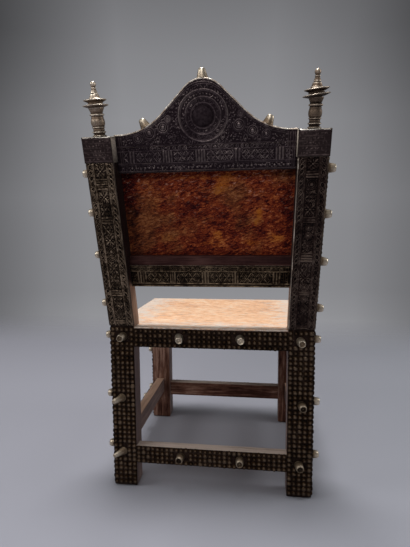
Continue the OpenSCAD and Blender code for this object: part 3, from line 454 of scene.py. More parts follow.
class Relief:
    """Beaten sheet: a grid of places x, y on a flat face, and how far each stands proud of it."""

    def __init__(self, x, y, seed, calm=1.0):
        self.x, self.y = x, y
        self.rng = np.random.default_rng(seed)
        self.floor = 0.32 + calm * (0.10 * noise(x, y, 19, seed) + 0.07 * noise(x, y, 6, seed + 1)
                                    + 0.05 * noise(x, y, 2.1, seed + 2))
        self.ridge = np.zeros_like(x)
        self.swell = np.zeros_like(x)

    def raise_to(self, x, y, reach, distance, width, high):
        """A rounded ridge where distance(x, y) is less than width, within reach of x, y."""
        cols = np.flatnonzero(np.abs(self.x[0] - x) <= reach)
        if not len(cols):
            return
        rows = np.flatnonzero((np.abs(self.y[:, cols] - y) <= reach).any(1))
        if not len(rows):
            return
        part = np.s_[rows[0]:rows[-1] + 1, cols[0]:cols[-1] + 1]
        high = 1.45 * high * self.rng.uniform(0.75, 1.1)
        off = distance(self.x[part] - x, self.y[part] - y) / (1.4 * width)
        self.ridge[part] = np.maximum(self.ridge[part], high * np.clip(1 - off * off, 0, 1) ** 0.8)

    def line(self, x0, y0, x1, y1, width=1.0, high=0.75):
        ux, uy = x1 - x0, y1 - y0
        long = math.hypot(ux, uy)

        def distance(dx, dy):
            along = np.clip((dx * ux + dy * uy) / long, -long / 2, long / 2)
            return np.hypot(dx - along * ux / long, dy - along * uy / long)
        self.raise_to((x0 + x1) / 2, (y0 + y1) / 2, max(abs(ux), abs(uy)) / 2 + width,
                      distance, width, high)

    def level_lines(self, edge, width, high, *places):
        for y in places:
            self.line(-edge, y, edge, y, width, high)

    def upright_lines(self, y0, y1, width, high, *places):
        for x in places:
            self.line(x, y0, x, y1, width, high)

    def ring(self, x, y, r, width=0.9, high=0.75, start=0.0, stop=360.0):
        middle, half = math.radians((start + stop) / 2), math.radians((stop - start) / 2)

        def distance(dx, dy):
            away = np.abs(np.hypot(dx, dy) - r)
            turned = (np.arctan2(dy, dx) - middle + math.pi) % (2 * math.pi) - math.pi
            return np.where(np.abs(turned) <= half, away, FAR_OFF)
        self.raise_to(x, y, r + width, distance, width, high)

    def dot(self, x, y, r=1.5, high=1.0):
        self.raise_to(x, y, r, np.hypot, r, high)

    def leaf(self, x, y, long, wide, turn, width=0.75, high=0.8, vein=True, full=False):
        """The outline of a pointed leaf, with a vein, or a full one beaten up as one swelling."""
        c, s = unit(turn)

        def distance(dx, dy):
            u, v = (dx * c + dy * s) * 2 / long, np.abs(dy * c - dx * s)
            if full:
                return v / (wide / 2 * np.clip(1 - u * u, 0.02, 1))
            off = np.abs(v - wide / 2 * (1 - u * u))
            if vein:
                off = np.minimum(off, v + 0.2)
            return np.where(np.abs(u) < 1, off, FAR_OFF)
        self.raise_to(x, y, long / 2, distance, width, high)

    def blade(self, x, y, long, wide, turn, high=0.85):
        self.leaf(x, y, long, wide, turn, 0.8, high, full=True)

    def bars(self, x0, x1, y0, y1, count, upright=True, high=0.95):
        """Evenly spaced straight bars that fill a box."""
        for i in range(count):
            f = (i + 0.5) / count
            slip = self.rng.uniform(-0.4, 0.4)
            if upright:
                x = x0 + f * (x1 - x0)
                self.line(x + slip, y0, x - slip, y1, 0.30 * (x1 - x0) / count + 0.2, high)
            else:
                y = y0 + f * (y1 - y0)
                self.line(x0, y + slip, x1, y - slip, 0.30 * (y1 - y0) / count + 0.2, high)

    def star(self, x, y, w, h):
        """Four leaves that meet in a middle dot, with smaller ones and dots between them."""
        turn = math.degrees(math.atan2(h, w))
        for sx, sy in ((1, 1), (-1, 1), (-1, -1), (1, -1)):
            self.blade(x + sx * w * 0.27, y + sy * h * 0.27, math.hypot(w, h) * 0.38,
                       min(w, h) / 4.2, sx * sy * turn, 0.8)
            self.dot(x + sx * w * 0.2, y + sy * h * 0.44, 1.1, 0.8)
            self.dot(x + sx * w * 0.45, y + sy * h * 0.2, 1.1, 0.8)
        self.dot(x, y, 1.7, 1.1)
        for side in (-1, 1):
            self.blade(x + side * w * 0.34, y, w * 0.26, 2.6, 0)
            self.blade(x, y + side * h * 0.34, h * 0.26, 2.6, 90)

    def lattice(self, x0, x1, y0, y1, nx, ny):
        """Leaves on the cells' diagonals, crossed by small ones, with dots where cells meet."""
        w, h = (x1 - x0) / nx, (y1 - y0) / ny
        for i in range(nx):
            for j in range(ny):
                x, y = x0 + (i + 0.5) * w, y0 + (j + 0.5) * h
                slope = 1 if (i + j) % 2 else -1
                turn = math.degrees(math.atan2(h, w)) * slope + self.rng.normal(0, 4)
                self.blade(x, y, math.hypot(w, h) * 0.98, min(w, h) * 0.42, turn, 0.95)
                for side in (-1, 1):
                    self.blade(x + side * w * 0.29, y - side * slope * h * 0.29,
                               math.hypot(w, h) * 0.36, min(w, h) * 0.3, -turn, 0.75)
                if i:
                    self.dot(x0 + i * w, y, 1.0, 0.9)

    def rosette(self, x, y, r):
        self.ring(x, y, r, 0.9)
        self.ring(x, y, r * 0.62, 0.8)
        self.dot(x, y, r * 0.34, 1.2)

    def petals(self, x, y, r, count=8):
        """A ring of petals round a dot."""
        for i in range(count):
            turn = 360 / count * (i + 0.5)
            c, s = unit(turn)
            self.leaf(x + 0.62 * r * c, y + 0.62 * r * s, 0.72 * r, 0.34 * r, turn, 0.65,
                      vein=False)
        self.dot(x, y, 0.24 * r, 1.2)

    def lozenges(self, x, y, w, h, count=3):
        for i in range(count):
            k = (i + 1) / count
            for sx, sy in CORNERS:
                self.line(x + sx * w / 2 * k, y, x, y + sy * h / 2 * k, 0.75)
        self.dot(x, y, 1.1, 0.8)

    def arches(self, x, y, w, h, count=3):
        """Nested round arches that stand on y."""
        for i in range(count):
            self.ring(x, y + h - w / 2, w / 2 * (i + 1) / count, 0.75, start=0, stop=180)

    def beads(self, x0, y0, x1, y1, pitch, r, high):
        count = max(1, round(math.hypot(x1 - x0, y1 - y0) / pitch))
        for i in range(count + 1):
            f = i / count
            j = self.rng.normal(0, 0.18, 3)
            self.dot(x0 + f * (x1 - x0) + j[0], y0 + f * (y1 - y0) + j[1],
                     r * (1 + 0.25 * j[2]), high)

    def loops(self, x, y0, y1, pitch, w, lean):
        """An upright border of leaning open loops with a dot in each."""
        count = max(1, round((y1 - y0) / pitch))
        step = (y1 - y0) / count
        aside = math.copysign(w * 0.4, lean)
        for i in range(count):
            y = y0 + (i + 0.5) * step + self.rng.normal(0, 0.25)
            turn = 90 - lean + self.rng.normal(0, 5)
            self.leaf(x, y, step * 1.1, w * 0.74, turn, 0.75, 1.0, False)
            if self.rng.random() < 0.6:
                self.dot(x + self.rng.normal(0, 0.2), y, 0.9, 0.7)
            self.dot(x + aside, y + step / 2, 1.0, 0.8)
            self.dot(x - aside, y - step / 2, 0.9, 0.7)

    def teeth(self, x0, x1, y, pitch, h):
        """A row of small leaning ovals."""
        count = max(1, round((x1 - x0) / pitch))
        for i in range(count):
            x = x0 + (i + 0.5) * (x1 - x0) / count + self.rng.normal(0, 0.25)
            self.leaf(x, y, h, pitch * 0.5, 72 + self.rng.normal(0, 6), 0.75, 0.95, False)
            self.dot(x, y, 0.9, 0.9)

    def crowd(self, count, x0, x1, y0, y1, room=1.7):
        """Small beads and commas wherever the ground between the figures is still bare."""
        xs, ys = self.rng.uniform(x0, x1, count), self.rng.uniform(y0, y1, count)
        kinds, turns = self.rng.random(count), self.rng.uniform(0, math.pi, count)
        for x, y, kind, turn in zip(xs, ys, kinds, turns):
            cols = np.flatnonzero(np.abs(self.x[0] - x) <= room)
            if not len(cols):
                continue
            rows = np.flatnonzero(np.abs(self.y[:, cols[len(cols) // 2]] - y) <= room)
            if not len(rows) or self.ridge[rows[0]:rows[-1] + 1, cols[0]:cols[-1] + 1].max() > 0.3:
                continue
            if kind < 0.55:
                self.dot(x, y, 1.35, 0.8)
            else:
                dx, dy = 1.5 * math.cos(turn), 1.5 * math.sin(turn)
                self.line(x - dx, y - dy, x + dx, y + dy, 0.9, 0.75)

    def plate(self, name, place, seed, kind):
        """A thin closed plate of a kind of brass. place takes x, y and the height off the face."""
        rows, cols = self.x.shape
        high = self.floor + self.ridge + self.swell
        rim = edge_loop(rows, cols)
        high.ravel()[rim] = 0.25
        top = place(self.x, self.y, high).reshape(-1, 3)
        foot = place(self.x.ravel()[rim], self.y.ravel()[rim], np.full(len(rim), 0.03))
        start, count = rows * cols, len(rim)
        faces = grid_faces(rows, cols)
        faces += [[int(rim[i]), int(rim[(i + 1) % count]), start + (i + 1) % count, start + i]
                  for i in range(count)]
        faces.append([start + i for i in range(count)])

        def mottle(cell, shift):
            return noise(self.x, self.y, cell, seed + shift)
        worn = 0.78 + 0.24 * mottle(9, 7) + 0.2 * mottle(3.2, 8)
        lift = np.clip((self.ridge * worn + 0.07 * self.swell) / 1.15, 0, 1)
        tone = mottle(26, 5) * 0.3 + mottle(3.4, 6) * 0.3
        lift, tone = (np.concatenate([v.ravel(), np.zeros(count)]) for v in (lift, tone))
        places = np.concatenate([top, foot])
        piece(name, places, faces, BRASS[kind], lift, tone)


BACK_STEP, FRONT_STEP = 0.75, 1.0


def ruled(x0, x1, low, top, step):
    """A grid of upright columns, each from low to top, which is a number or takes x."""
    xs = np.linspace(x0, x1, int((x1 - x0) / step) + 1)
    highs = np.broadcast_to(top(xs) if callable(top) else top, xs.shape)
    rows = int((highs.max() - low) / step) + 1
    f = np.linspace(0, 1, rows)[:, None]
    return np.broadcast_to(xs, (rows, len(xs))).copy(), low + f * (highs - low)


def friezes(relief, y0, y1, groups, x0, x1):
    """Groups of upright bars, with leaf lattice between them."""
    places = [x0] + [x for group in groups for x in group] + [x1]
    for left, right in groups:
        relief.bars(left, right, y0 + 0.8, y1 - 0.8, max(2, round((right - left) / 5.4)))
    for left, right in zip(places[::2], places[1::2]):
        if right - left > 8:
            columns = max(1, round((right - left) / 8.5))
            relief.lattice(left + 1, right - 1, y0 + 1, y1 - 1, columns, 2)


def on_board(front, base):
    """The front or back of a board between the posts. x is measured at the height base."""
    def place(x, s, high):
        x = x * (inner_x(s, BACK_SET) / inner_x(base, BACK_SET))
        if front:
            return in_back(x, s, POST_D + SHEET_T + high)
        return in_back(-x, s, BACK_SET - SHEET_T - high)
    return place


def on_medallion(r, turn):
    """A place at a distance and in a direction from the medallion's middle."""
    c, d = unit(turn)
    return r * c, MEDAL_S + r * d


def crest_relief(front):
    """A medallion with rings and scrolls beside it, over rows of teeth, lattice and beads."""
    low = HIDE_S[1] + 3 if front else CREST_S + 0.4
    edge = inner_x(CREST_S, BACK_SET) - 0.8
    step = FRONT_STEP if front else BACK_STEP
    x, s = ruled(-edge, edge, low, lambda v: crest_top(v) - 0.5, step)
    relief = Relief(x, s, 12 if front else 11)
    relief.level_lines(edge, 1.0, 0.5, 330, 345, 368, 377.4)
    relief.level_lines(edge, 0.7, 0.4, 342.2)
    relief.beads(-144, 336.2, 159, 336.2, 8.7, 1.9, 1.2)
    bars = (-149, -136), (-82, -61), (-18, 3), (57, 70), (133, 151)
    friezes(relief, 346, 367, bars, -160, 160)
    relief.teeth(-119, -30, 372.7, 10.5, 7.5)
    for a in np.arange(-26, 26, 9.4):
        relief.ring(a, 370.8, 3.1, 0.8, 0.95, 0, 180)
        relief.dot(a, 371.2, 1.1, 0.9)
    relief.teeth(30, 142, 372.7, 9.5, 7.5)
    # the medallion; its boss is a dome
    for r, width, high in ((45.5, 1.4, 0.85), (42.6, 0.7, 0.6), (33, 1.3, 0.6), (30.2, 0.7, 0.45),
                           (22.6, 1.3, 0.5)):
        relief.ring(0, MEDAL_S, r, width, high)
    from_middle = np.hypot(x, s - MEDAL_S)
    relief.swell = 4.6 * np.sqrt(np.clip(1 - (from_middle / 18.8) ** 2, 0, 1))
    for turn in range(15, 166, 9):
        relief.dot(*on_medallion(38, turn), 1.5, 1.0)
    for turn in range(0, 360, 15):
        relief.line(*on_medallion(25.6, turn), *on_medallion(28.6, turn), 0.6, 0.5)
    for turn in range(195, 346, 15):
        relief.leaf(*on_medallion(38, turn), 8, 3.4, turn + 50, 0.6, 0.7, False)
    # rings and scrolls on the shoulders
    for a, y, r in ((-77, 410, 9.5), (-104, 401, 10.5), (-127, 391.5, 8.5), (-67, 425, 5.5),
                    (66, 410, 9.5), (91, 399, 9), (116, 392.5, 7.5), (69, 430, 5)):
        relief.rosette(a, y, r)
        relief.ring(a, y, r + 2.4, 0.6, 0.5, 200, 400)
    for a, y, turn in ((-57, 391, 78), (49, 411, -70), (36, 391, 80), (-88, 387, 90),
                       (78, 387, 84), (103, 385, 90)):
        relief.leaf(a, y, 13, 6.5, turn, 0.8, 0.85, False)
        relief.dot(a, y - 2, 1.6, 1.1)
    # an edge line that follows the outline, and plain ends between upright lines
    sample = np.linspace(-150, 150, 76)
    for inset, high in ((3.4, 0.8), (6.2, 0.55)):
        edge_s = crest_top(sample) - inset * (1 + 0.35 * (np.abs(sample) < 78))
        for i in range(len(sample) - 1):
            relief.line(sample[i], edge_s[i], sample[i + 1], edge_s[i + 1], 0.8, high)
    relief.upright_lines(CREST_S + 6, CREST_END_S - 4, 0.8, 0.6, -165, -161, 156, 160, 165.5, 169)
    relief.crowd(3800, -158, 158, 380, 497, 1.5)
    relief.crowd(1800, -166, 166, 329, 380, 1.2)
    relief.ridge[from_middle < 20] = 0
    name = "crest_front_relief" if front else "crest_relief"
    relief.plate(name, on_board(front, CREST_S), 20, "crest")


def lower_relief(front):
    """The sheet on the lower rail: rings over a frieze of bars and lattice."""
    edge = inner_x(LOWER_S, BACK_SET) - 0.8
    top = HIDE_S[0] - 2.6 if front else LOWER_TOP_S
    x, s = ruled(-edge, edge, LOWER_S + 0.5, top, FRONT_STEP if front else BACK_STEP)
    relief = Relief(x, s, 14 if front else 13)
    relief.level_lines(edge, 1.35, 0.85, 89, 95, 122, 131.5)
    relief.level_lines(edge, 0.6, 0.5, 91.9)
    bars = (-155, -133), (-84, -70), (-16, 2), (48, 64), (132, 150)
    friezes(relief, 96, 121, bars, -157, 152)
    for a in np.arange(-148, 150, 9.6):
        relief.ring(a, 126.8, 3.0, 0.8, 0.85)
        relief.dot(a, 126.8, 1.1, 1.0)
        relief.dot(a + 4.8, 126.8, 0.9, 0.8)
    relief.upright_lines(90, 131, 0.8, 0.6, -162, -158, 155, 159, 164)
    relief.crowd(1800, -166, 166, 88, 135, 1.15)
    name = "lower_front_relief" if front else "lower_rail_relief"
    relief.plate(name, on_board(front, LOWER_S), 30, "sheet_lower")


# What fills the middle strip of each post, from the foot up: kind, from s, to s.
STRIPS = {
    "left": (("bars", 8, 18), ("lozenges", 20, 46), ("lattice", 47, 71), ("bars", 73, 89),
             ("arches", 91, 104), ("lattice", 105, 122), ("star", 124, 147), ("arches", 148, 161),
             ("rosette", 162, 184), ("star", 185, 208), ("lattice", 209, 229), ("bars", 230, 246),
             ("lattice", 248, 272), ("star", 273, 296), ("bars", 298, 321), ("star", 323, 345)),
    "right": (("bars", 5, 14), ("lozenges", 16, 40), ("lozenges", 41, 64), ("rosette", 65, 79),
              ("bars", 81, 88), ("rosette", 90, 106), ("star", 107, 128), ("lattice", 129, 149),
              ("bars", 150, 171), ("petals", 173, 196), ("rosette", 197, 211),
              ("petals", 212, 227), ("bars", 228, 241), ("star", 243, 266), ("lattice", 267, 290),
              ("rosette", 291, 311), ("bars", 312, 326), ("star", 328, 347)),
}


def fill(relief, kind, x0, x1, y0, y1):
    x, y, w, h = (x0 + x1) / 2, (y0 + y1) / 2, x1 - x0, y1 - y0
    if kind == "bars":
        relief.bars(x0, x1, y0, y1, max(2, round(h / 4.8)), False)
    elif kind == "lattice":
        relief.lattice(x0, x1, y0, y1, 3, max(1, round(h / 8)))
    elif kind == "star":
        relief.star(x, y, w, h)
    elif kind == "lozenges":
        relief.lozenges(x, y, w, h)
    elif kind == "arches":
        relief.arches(x, y0, w, h)
    elif kind == "petals":
        relief.petals(x, y, min(w, h) / 2)
    else:
        relief.rosette(x, y, min(w, h) / 2 - 0.8)
        for sx, sy in CORNERS:
            relief.dot(x + sx * w * 0.42, y + sy * h * 0.42, 1.2, 0.9)


# The lines along a post run from its foot to past the top of the sheet.
LINE_TOP = 352


def post_relief(side, front):
    """A post's back or front: two borders and a middle strip between raised lines."""
    sign = SIDES[side]
    first = HIDE_LAP + 3 if front else 0.5
    step = FRONT_STEP if front else BACK_STEP
    u, s = ruled(first, LEG_W - 0.5, SHEET_S + 0.3, CAP_S - 0.4, step)
    relief = Relief(u, s, (21 if side == "left" else 22) + 10 * front)
    relief.upright_lines(0, LINE_TOP, 1.35, 0.85, 1, 13, 40, 52)
    relief.upright_lines(0, LINE_TOP, 0.6, 0.5, 15.4, 37.6)
    relief.loops(7, 6, 348, 9.6, 9, 24)
    relief.loops(46, 6, 348, 10.6, 10, -26)
    for kind, s0, s1 in STRIPS[side]:
        fill(relief, kind, 16.6, 36.4, s0, s1)
    if side == "right":
        for y in (80, 89.5):
            relief.line(0, y, 53, y, 0.9, 0.7)
    relief.crowd(3600, 0, 53, 4, 350, 1.15)

    def place(across, y, high):
        t, off = (POST_D, POST_D + SHEET_T + high) if front else (0, -SHEET_T - high)
        return in_back(sign * (inner_x(y, t) + across), y, off)
    relief.plate(f"{side}_post_{'front' if front else 'back'}_relief", place,
                 47 if side == "left" else 40, "sheet" if side == "left" else "sheet_shaded")


def side_relief(side):
    """A post's outer side: large beads along each edge and a running leaf between."""
    sign = SIDES[side]
    t, s = ruled(0.5, POST_D - 0.5, SHEET_S + 0.3, CAP_S - 0.4, FRONT_STEP)
    relief = Relief(t, s, 51 if side == "left" else 52)
    for a in (5, POST_D - 5):
        relief.beads(a, 8, a, 346, 8.5, 3.0, 1.5)
    relief.upright_lines(0, LINE_TOP, 0.9, 0.8, 10, POST_D - 10)
    for i, y in enumerate(np.arange(16, 344, 15.5)):
        hand = 1 if i % 2 else -1
        relief.leaf(POST_D / 2, y, 17, 8, 55 * hand)
        relief.dot(POST_D / 2 + 6 * hand, y + 4, 1.5)
    relief.crowd(700, 0, 41, 4, 350)

    def place(across, y, high):
        return in_back(sign * (inner_x(y, across) + LEG_W + SHEET_T + high), y, across)
    relief.plate(f"{side}_post_side_relief", place, 60, "sheet")


def cap_relief(side):
    """The cap's back face: nearly plain, with a few faint lines."""
    sign = SIDES[side]
    u, s = ruled(-0.8, LEG_W + 1.6, CAP_S + 0.6, POST_L + 1.6, FRONT_STEP)
    relief = Relief(u, s, 71 if side == "left" else 72, 1.4)
    for y, high in ((353, 0.6), (361, 0.35), (369, 0.4), (377.5, 0.35), (386, 0.4), (394, 0.5)):
        relief.line(-1, y, 55, y, 1.1, high)
    relief.crowd(260, 4, 49, 354, 394, 2.2)
    for a in (6, 47):
        relief.dot(a, 390, 2.0, 0.7)
    relief.ridge *= 0.7

    def place(across, y, high):
        return in_back(sign * (inner_x(y, 0) + across), y, -CAP_T - high)
    relief.plate(f"{side}_cap_relief", place, 80, "caps")


def rolled_edge(name, path, radius, kind, lift=0.7):
    """The rounded edge of folded sheet, along a path of world places in metres."""
    path = np.asarray(path, dtype=float)
    ahead = np.gradient(path, axis=0)
    ahead /= np.linalg.norm(ahead, axis=1)[:, None]
    side = np.cross(ahead, (0.0, math.cos(LEAN), -math.sin(LEAN)))
    short = np.linalg.norm(side, axis=1) < 0.3
    side[short] = np.cross(ahead[short], (1.0, 0.0, 0.0))
    side /= np.linalg.norm(side, axis=1)[:, None]
    other = np.cross(side, ahead)
    rows, cols = len(path), 10
    turn = np.arange(cols) * 2 * math.pi / cols
    wave = 1 + 0.12 * noise(np.arange(rows), 0 * path[:, 0], 3.0, 5)
    ring = (path[:, None] + radius / 1000 * wave[:, None, None]
            * (np.cos(turn)[:, None] * side[:, None] + np.sin(turn)[:, None] * other[:, None]))
    faces = grid_faces(rows, cols, 0, True)
    faces += [list(range(cols)), list(range((rows - 1) * cols, rows * cols))]
    values = lift + 0.25 * noise(np.arange(rows * cols), np.zeros(rows * cols), 37, 6)
    piece(name, ring.reshape(-1, 3), faces, BRASS[kind], values, 0 * values)


def rims():
    """Folded edges: over the crest, down both edges of each post and round each cap's top."""
    edge = inner_x(CREST_END_S, BACK_SET) - 0.5
    a = np.linspace(-edge, edge, 241)
    crest_path = in_back(a, crest_top(a) + SHEET_T - 0.5, BACK_SET - SHEET_T + 0.5)
    rolled_edge("crest_rim", crest_path, 1.5, "highlit_folds")
    s = np.linspace(SHEET_S + 1, CAP_S - 1, 70)
    inset = CAP_T - 1.2
    top = POST_L + inset
    corners = ((-inset, BACK_SET - 4), (-inset, -inset), (LEG_W + inset, -inset),
               (LEG_W + inset, POST_D + inset), (0, POST_D + inset))
    path = []
    for (u0, t0), (u1, t1) in zip(corners, corners[1:]):
        path += [(u0 + f * (u1 - u0), t0 + f * (t1 - t0)) for f in np.linspace(0.04, 0.96, 14)]
    u, t = np.array(path).T
    for side, sign in SIDES.items():
        inner = inner_x(s, 0) + 0.5
        # the right post's inner edge takes the near-white folds brass as a painted highlight
        for name, x, kind, lift in (("inner", inner, "sheet" if side == "left" else "highlit_folds", 0.7),
                                    ("outer", inner + LEG_W, "sheet", 0.5)):
            path = in_back(sign * x, s, 0.6 - SHEET_T)
            rolled_edge(f"{side}_post_{name}_rim", path, 1.3, kind, lift)
        path = in_back(sign * (inner_x(top, t) + u), top, t)
        rolled_edge(f"{side}_cap_rim", path, 1.7, "highlit_folds", 0.9)


rims()
for front in (False, True):
    crest_relief(front)
    lower_relief(front)
    for side in SIDES:
        post_relief(side, front)
for side in SIDES:
    side_relief(side)
    cap_relief(side)


# ---------------------------------------------------------------- nails, studs and finials


def solids_of(node):
    """The places, in millimetres, of the points of each separate solid in a CAD node."""
    mesh = nodes[node].data
    places = np.empty(len(mesh.vertices) * 3)
    mesh.vertices.foreach_get("co", places)
    matrix = np.array(nodes[node].matrix_world)
    places = (places.reshape(-1, 3) @ matrix[:3, :3].T + matrix[:3, 3]) * 1000
    merged, index = np.unique(places.round(3), axis=0, return_inverse=True)
    mesh.calc_loop_triangles()
    corners = np.empty(len(mesh.loop_triangles) * 3, dtype=int)
    mesh.loop_triangles.foreach_get("vertices", corners)
    corners = index.ravel()[corners].reshape(-1, 3)
    # each point takes the lowest label of the points that it is joined to, until none changes
    label, last = np.arange(len(merged)), None
    while last is None or (label != last).any():
        last = label
        lowest = last[corners].min(1)
        label = last.copy()
        for k in range(3):
            np.minimum.at(label, corners[:, k], lowest)
        label = label[label]
    order = np.argsort(label, kind="stable")
    cuts = np.flatnonzero(np.diff(label[order])) + 1
    return [merged[group] for group in np.split(order, cuts)]


def spread(points, axis):
    """How far points are along an axis, and how far they are off it."""
    along = points @ axis
    return along, np.linalg.norm(points - along[:, None] * axis, axis=1)


def turned_frame(points, wide_end_out):
    """The middle and axis of a turned solid, and how far its points are along it."""
    middle = (points.min(0) + points.max(0)) / 2
    values, vectors = np.linalg.eigh(np.cov((points - middle).T))
    odd = 0 if values[1] - values[0] > values[2] - values[1] else 2
    axis = vectors[:, odd]
    along, away = spread(points - middle, axis)
    top, foot = along > along.max() - 0.3, along < along.min() + 0.3
    if (away[top].max() > away[foot].max()) != wide_end_out:
        axis, along = -axis, -along
    return middle, axis, along


def basis(axis, rng, tilt):
    """Two directions across a slightly tilted axis, and the axis itself."""
    axis = Vector(axis) + Vector(rng.normal(0, math.radians(tilt), 3))
    axis.normalize()
    across = axis.cross(Vector((0.31, 0.52, 0.79))).normalized()
    across = Matrix.Rotation(rng.uniform(0, 2 * math.pi), 3, axis) @ across
    return np.array(across), np.array(axis.cross(across)), np.array(axis)


class Turned:
    """Turned shapes in one piece, each a profile of (radius, height, lift) spun about an axis."""

    def __init__(self, seed):
        self.rng = np.random.default_rng(seed)
        self.places, self.faces, self.lift, self.tone = [], [], [], []
        self.count = 0

    def add(self, foot, axis, profile, segments, tilt=0.0, size=1.0, lean=0.0, tone=0.0,
            lump=0.02, bend=(0, 0, 0)):
        u, v, w = basis(axis, self.rng, tilt)
        angle = np.arange(segments) * 2 * math.pi / segments
        radius, height, lift = np.array(profile, dtype=float).T
        wave = (1 + lump * np.sin(2 * angle + self.rng.uniform(0, 6))
                + 0.6 * lump * np.sin(3 * angle))
        radius = radius[:, None] * size * wave
        up = height[:, None] * size * np.ones(segments)
        ring = (foot + (radius * np.cos(angle) + lean * up)[..., None] * u
                + (radius * np.sin(angle))[..., None] * v + up[..., None] * w
                + np.clip(height[:, None, None], 0, None) * np.array(bend, dtype=float))
        rows = len(height)
        self.places.append(ring.reshape(-1, 3))
        self.faces += grid_faces(rows, segments, self.count, True)
        for row in (0, rows - 1):
            self.faces.append([self.count + row * segments + i for i in range(segments)])
        self.lift.append(np.repeat(lift, segments))
        self.tone.append(np.full(rows * segments, tone))
        self.count += rows * segments

    def piece(self, name, kind, slot, replaced):
        piece(name, np.concatenate(self.places) / 1000, self.faces, BRASS[kind],
              np.concatenate(self.lift), np.concatenate(self.tone), (replaced,))


# Profiles as (radius, height, lift), from the foot up. The lift brightens the tops of the nail
# heads and the studs towards their ends, for wear and as a painted highlight.
NAIL = ((5.0, -0.5, 0.0), (5.3, 0.2, 0.12), (5.15, 1.2, 0.25), (4.5, 2.15, 0.38), (3.4, 2.9, 0.5),
        (2.0, 3.3, 0.85), (1.0, 3.42, 1.05), (0.3, 3.45, 1.1))
STUD_H = 16.5
STUD = ((8.6, -0.6, 0.0), (9.6, 0.2, 0.25), (9.7, 1.2, 0.75), (9.3, 2.2, 0.4), (9.0, 4.5, 0.5),
        (8.8, 8.0, 0.7), (8.4, 11.5, 0.85), (7.8, 14.0, 1.0), (7.2, 15.8, 1.0), (6.5, 16.5, 0.9),
        (5.9, 16.1, 0.5), (5.4, 15.2, 0.4), (3.6, 14.5, 0.35), (1.7, 14.4, 0.35), (1.1, 14.9, 0.5),
        (0.3, 15.1, 0.55))
HORN = ((8.6, -0.6, 0.0), (9.6, 0.2, 0.25), (9.4, 1.2, 0.6), (8.4, 2.6, 0.5), (7.4, 5.0, 0.6),
        (6.6, 8.0, 0.75), (6.0, 11.5, 0.9), (5.4, 14.0, 1.0), (4.6, 15.6, 1.0), (3.2, 16.4, 0.9),
        (0.3, 16.6, 0.8))
CREST_STUD_H = 18.0
CREST_STUD = ((10.2, -1.2, 0.0), (11.0, 0.3, 0.4), (10.4, 1.8, 0.6), (9.3, 5.0, 0.6),
              (8.2, 9.0, 0.7), (7.3, 12.5, 0.85), (6.6, 15.0, 1.0), (5.6, 16.9, 1.0),
              (3.8, 17.8, 0.9), (1.8, 18.0, 0.8), (0.3, 18.0, 0.8))
NAIL_SIDES, STUD_SIDES, FINIAL_SIDES = 14, 36, 48
NAIL_NODES = ("left_rear_post_nails", "right_rear_post_nails", "left_front_leg_nails",
              "right_front_leg_nails", "rear_seat_rail_nails", "front_seat_rail_nails",
              "side_seat_rail_nails", "rear_stretcher_nails", "front_stretcher_nails",
              "side_stretcher_nails", "back_hide_nails")
STUD_NODES = ("left_side_studs", "right_side_studs", "rear_studs", "front_studs")


def nails():
    """The domed nail heads, each a little worn, tilted and moved."""
    for number, node in enumerate(NAIL_NODES):
        heads = Turned(100 + number)
        rng = heads.rng
        # the nails on the rear seat rail are a darker tone
        rail_darker = -0.3 if node == "rear_seat_rail_nails" else 0.0
        for points in solids_of(node):
            middle, axis, along = turned_frame(points, False)
            foot = middle + axis * along.min() + rng.normal(0, 0.22, 3)
            # the nails low on the left post are rubbed flat and bright
            worn = 0.35 if node == "left_rear_post_nails" and foot[2] < 250 else 0.0
            flat = rng.uniform(0.72, 1.06) * (1 - worn * rng.uniform(0, 0.8))
            profile = [(r, h * flat if h > 0 else h, lift * rng.uniform(0.85, 1.0))
                       for r, h, lift in NAIL]
            heads.add(foot, axis, profile, NAIL_SIDES, 3.5, rng.uniform(0.95, 1.04),
                      rng.uniform(-0.12, 0.12), rng.normal(0, 0.24) + rail_darker + worn * 0.3, 0.03)
        heads.piece(node + "_heads", "nails", "nail_brass", node)


def stud_state(node, foot):
    """A stud's brightness, its lean in world directions, and whether it is drawn out to a horn."""
    x, y, z = foot
    if node != "rear_studs":
        return -0.1, (0, 0, -0.05), False
    if abs(x) < 120:
        return (0.7, (-0.1, 0, -0.12), False) if z > 250 else (-0.5, (0.05, 0, -0.1), False)
    if x > 0:
        return (-0.3, (0.2, 0, -0.1), False) if z > 300 else (-0.35, (0.95, 0, -0.28), True)
    return -0.15 - 0.4 * (z < 300) - 0.25 * (z < 150), (-0.1, 0, -0.12), False


def studs():
    """The large studs: hollow ones on the posts and legs, round-ended ones on the crest."""
    for number, node in enumerate(STUD_NODES):
        group = Turned(200 + number)
        for points in solids_of(node):
            middle, axis, along = turned_frame(points, True)
            foot = middle + axis * (along.max() - STUD_H)
            tone, bend, horn = stud_state(node, foot)
            group.add(foot, axis, HORN if horn else STUD, STUD_SIDES, 2.5,
                      group.rng.uniform(0.97, 1.0), 0, tone + group.rng.normal(0, 0.1), 0.015, bend)
        group.piece(node + "_heads", "studs", "stud_brass", node)
    group = Turned(210)
    for points in solids_of("crest_studs"):
        middle, axis, along = turned_frame(points, True)
        foot = middle + axis * (along.max() - CREST_STUD_H)
        group.add(foot, axis, CREST_STUD, STUD_SIDES, 2.0, 1.0, 0, group.rng.normal(0, 0.1), 0.015)
    group.piece("crest_studs_heads", "studs", "stud_brass", "crest_studs")


def outline(points, foot, axis):
    """How far a turned solid reaches out, at fine steps of its height."""
    along, away = spread(points - foot, axis)
    keys = along.round(1)
    heights = np.unique(keys)
    reach = np.array([away[keys == h].max() for h in heights])
    steps = max(8, int((heights[-1] - heights[0]) / 0.6))
    fine = np.linspace(heights[0], heights[-1], steps)
    return fine, np.interp(fine, heights, reach)


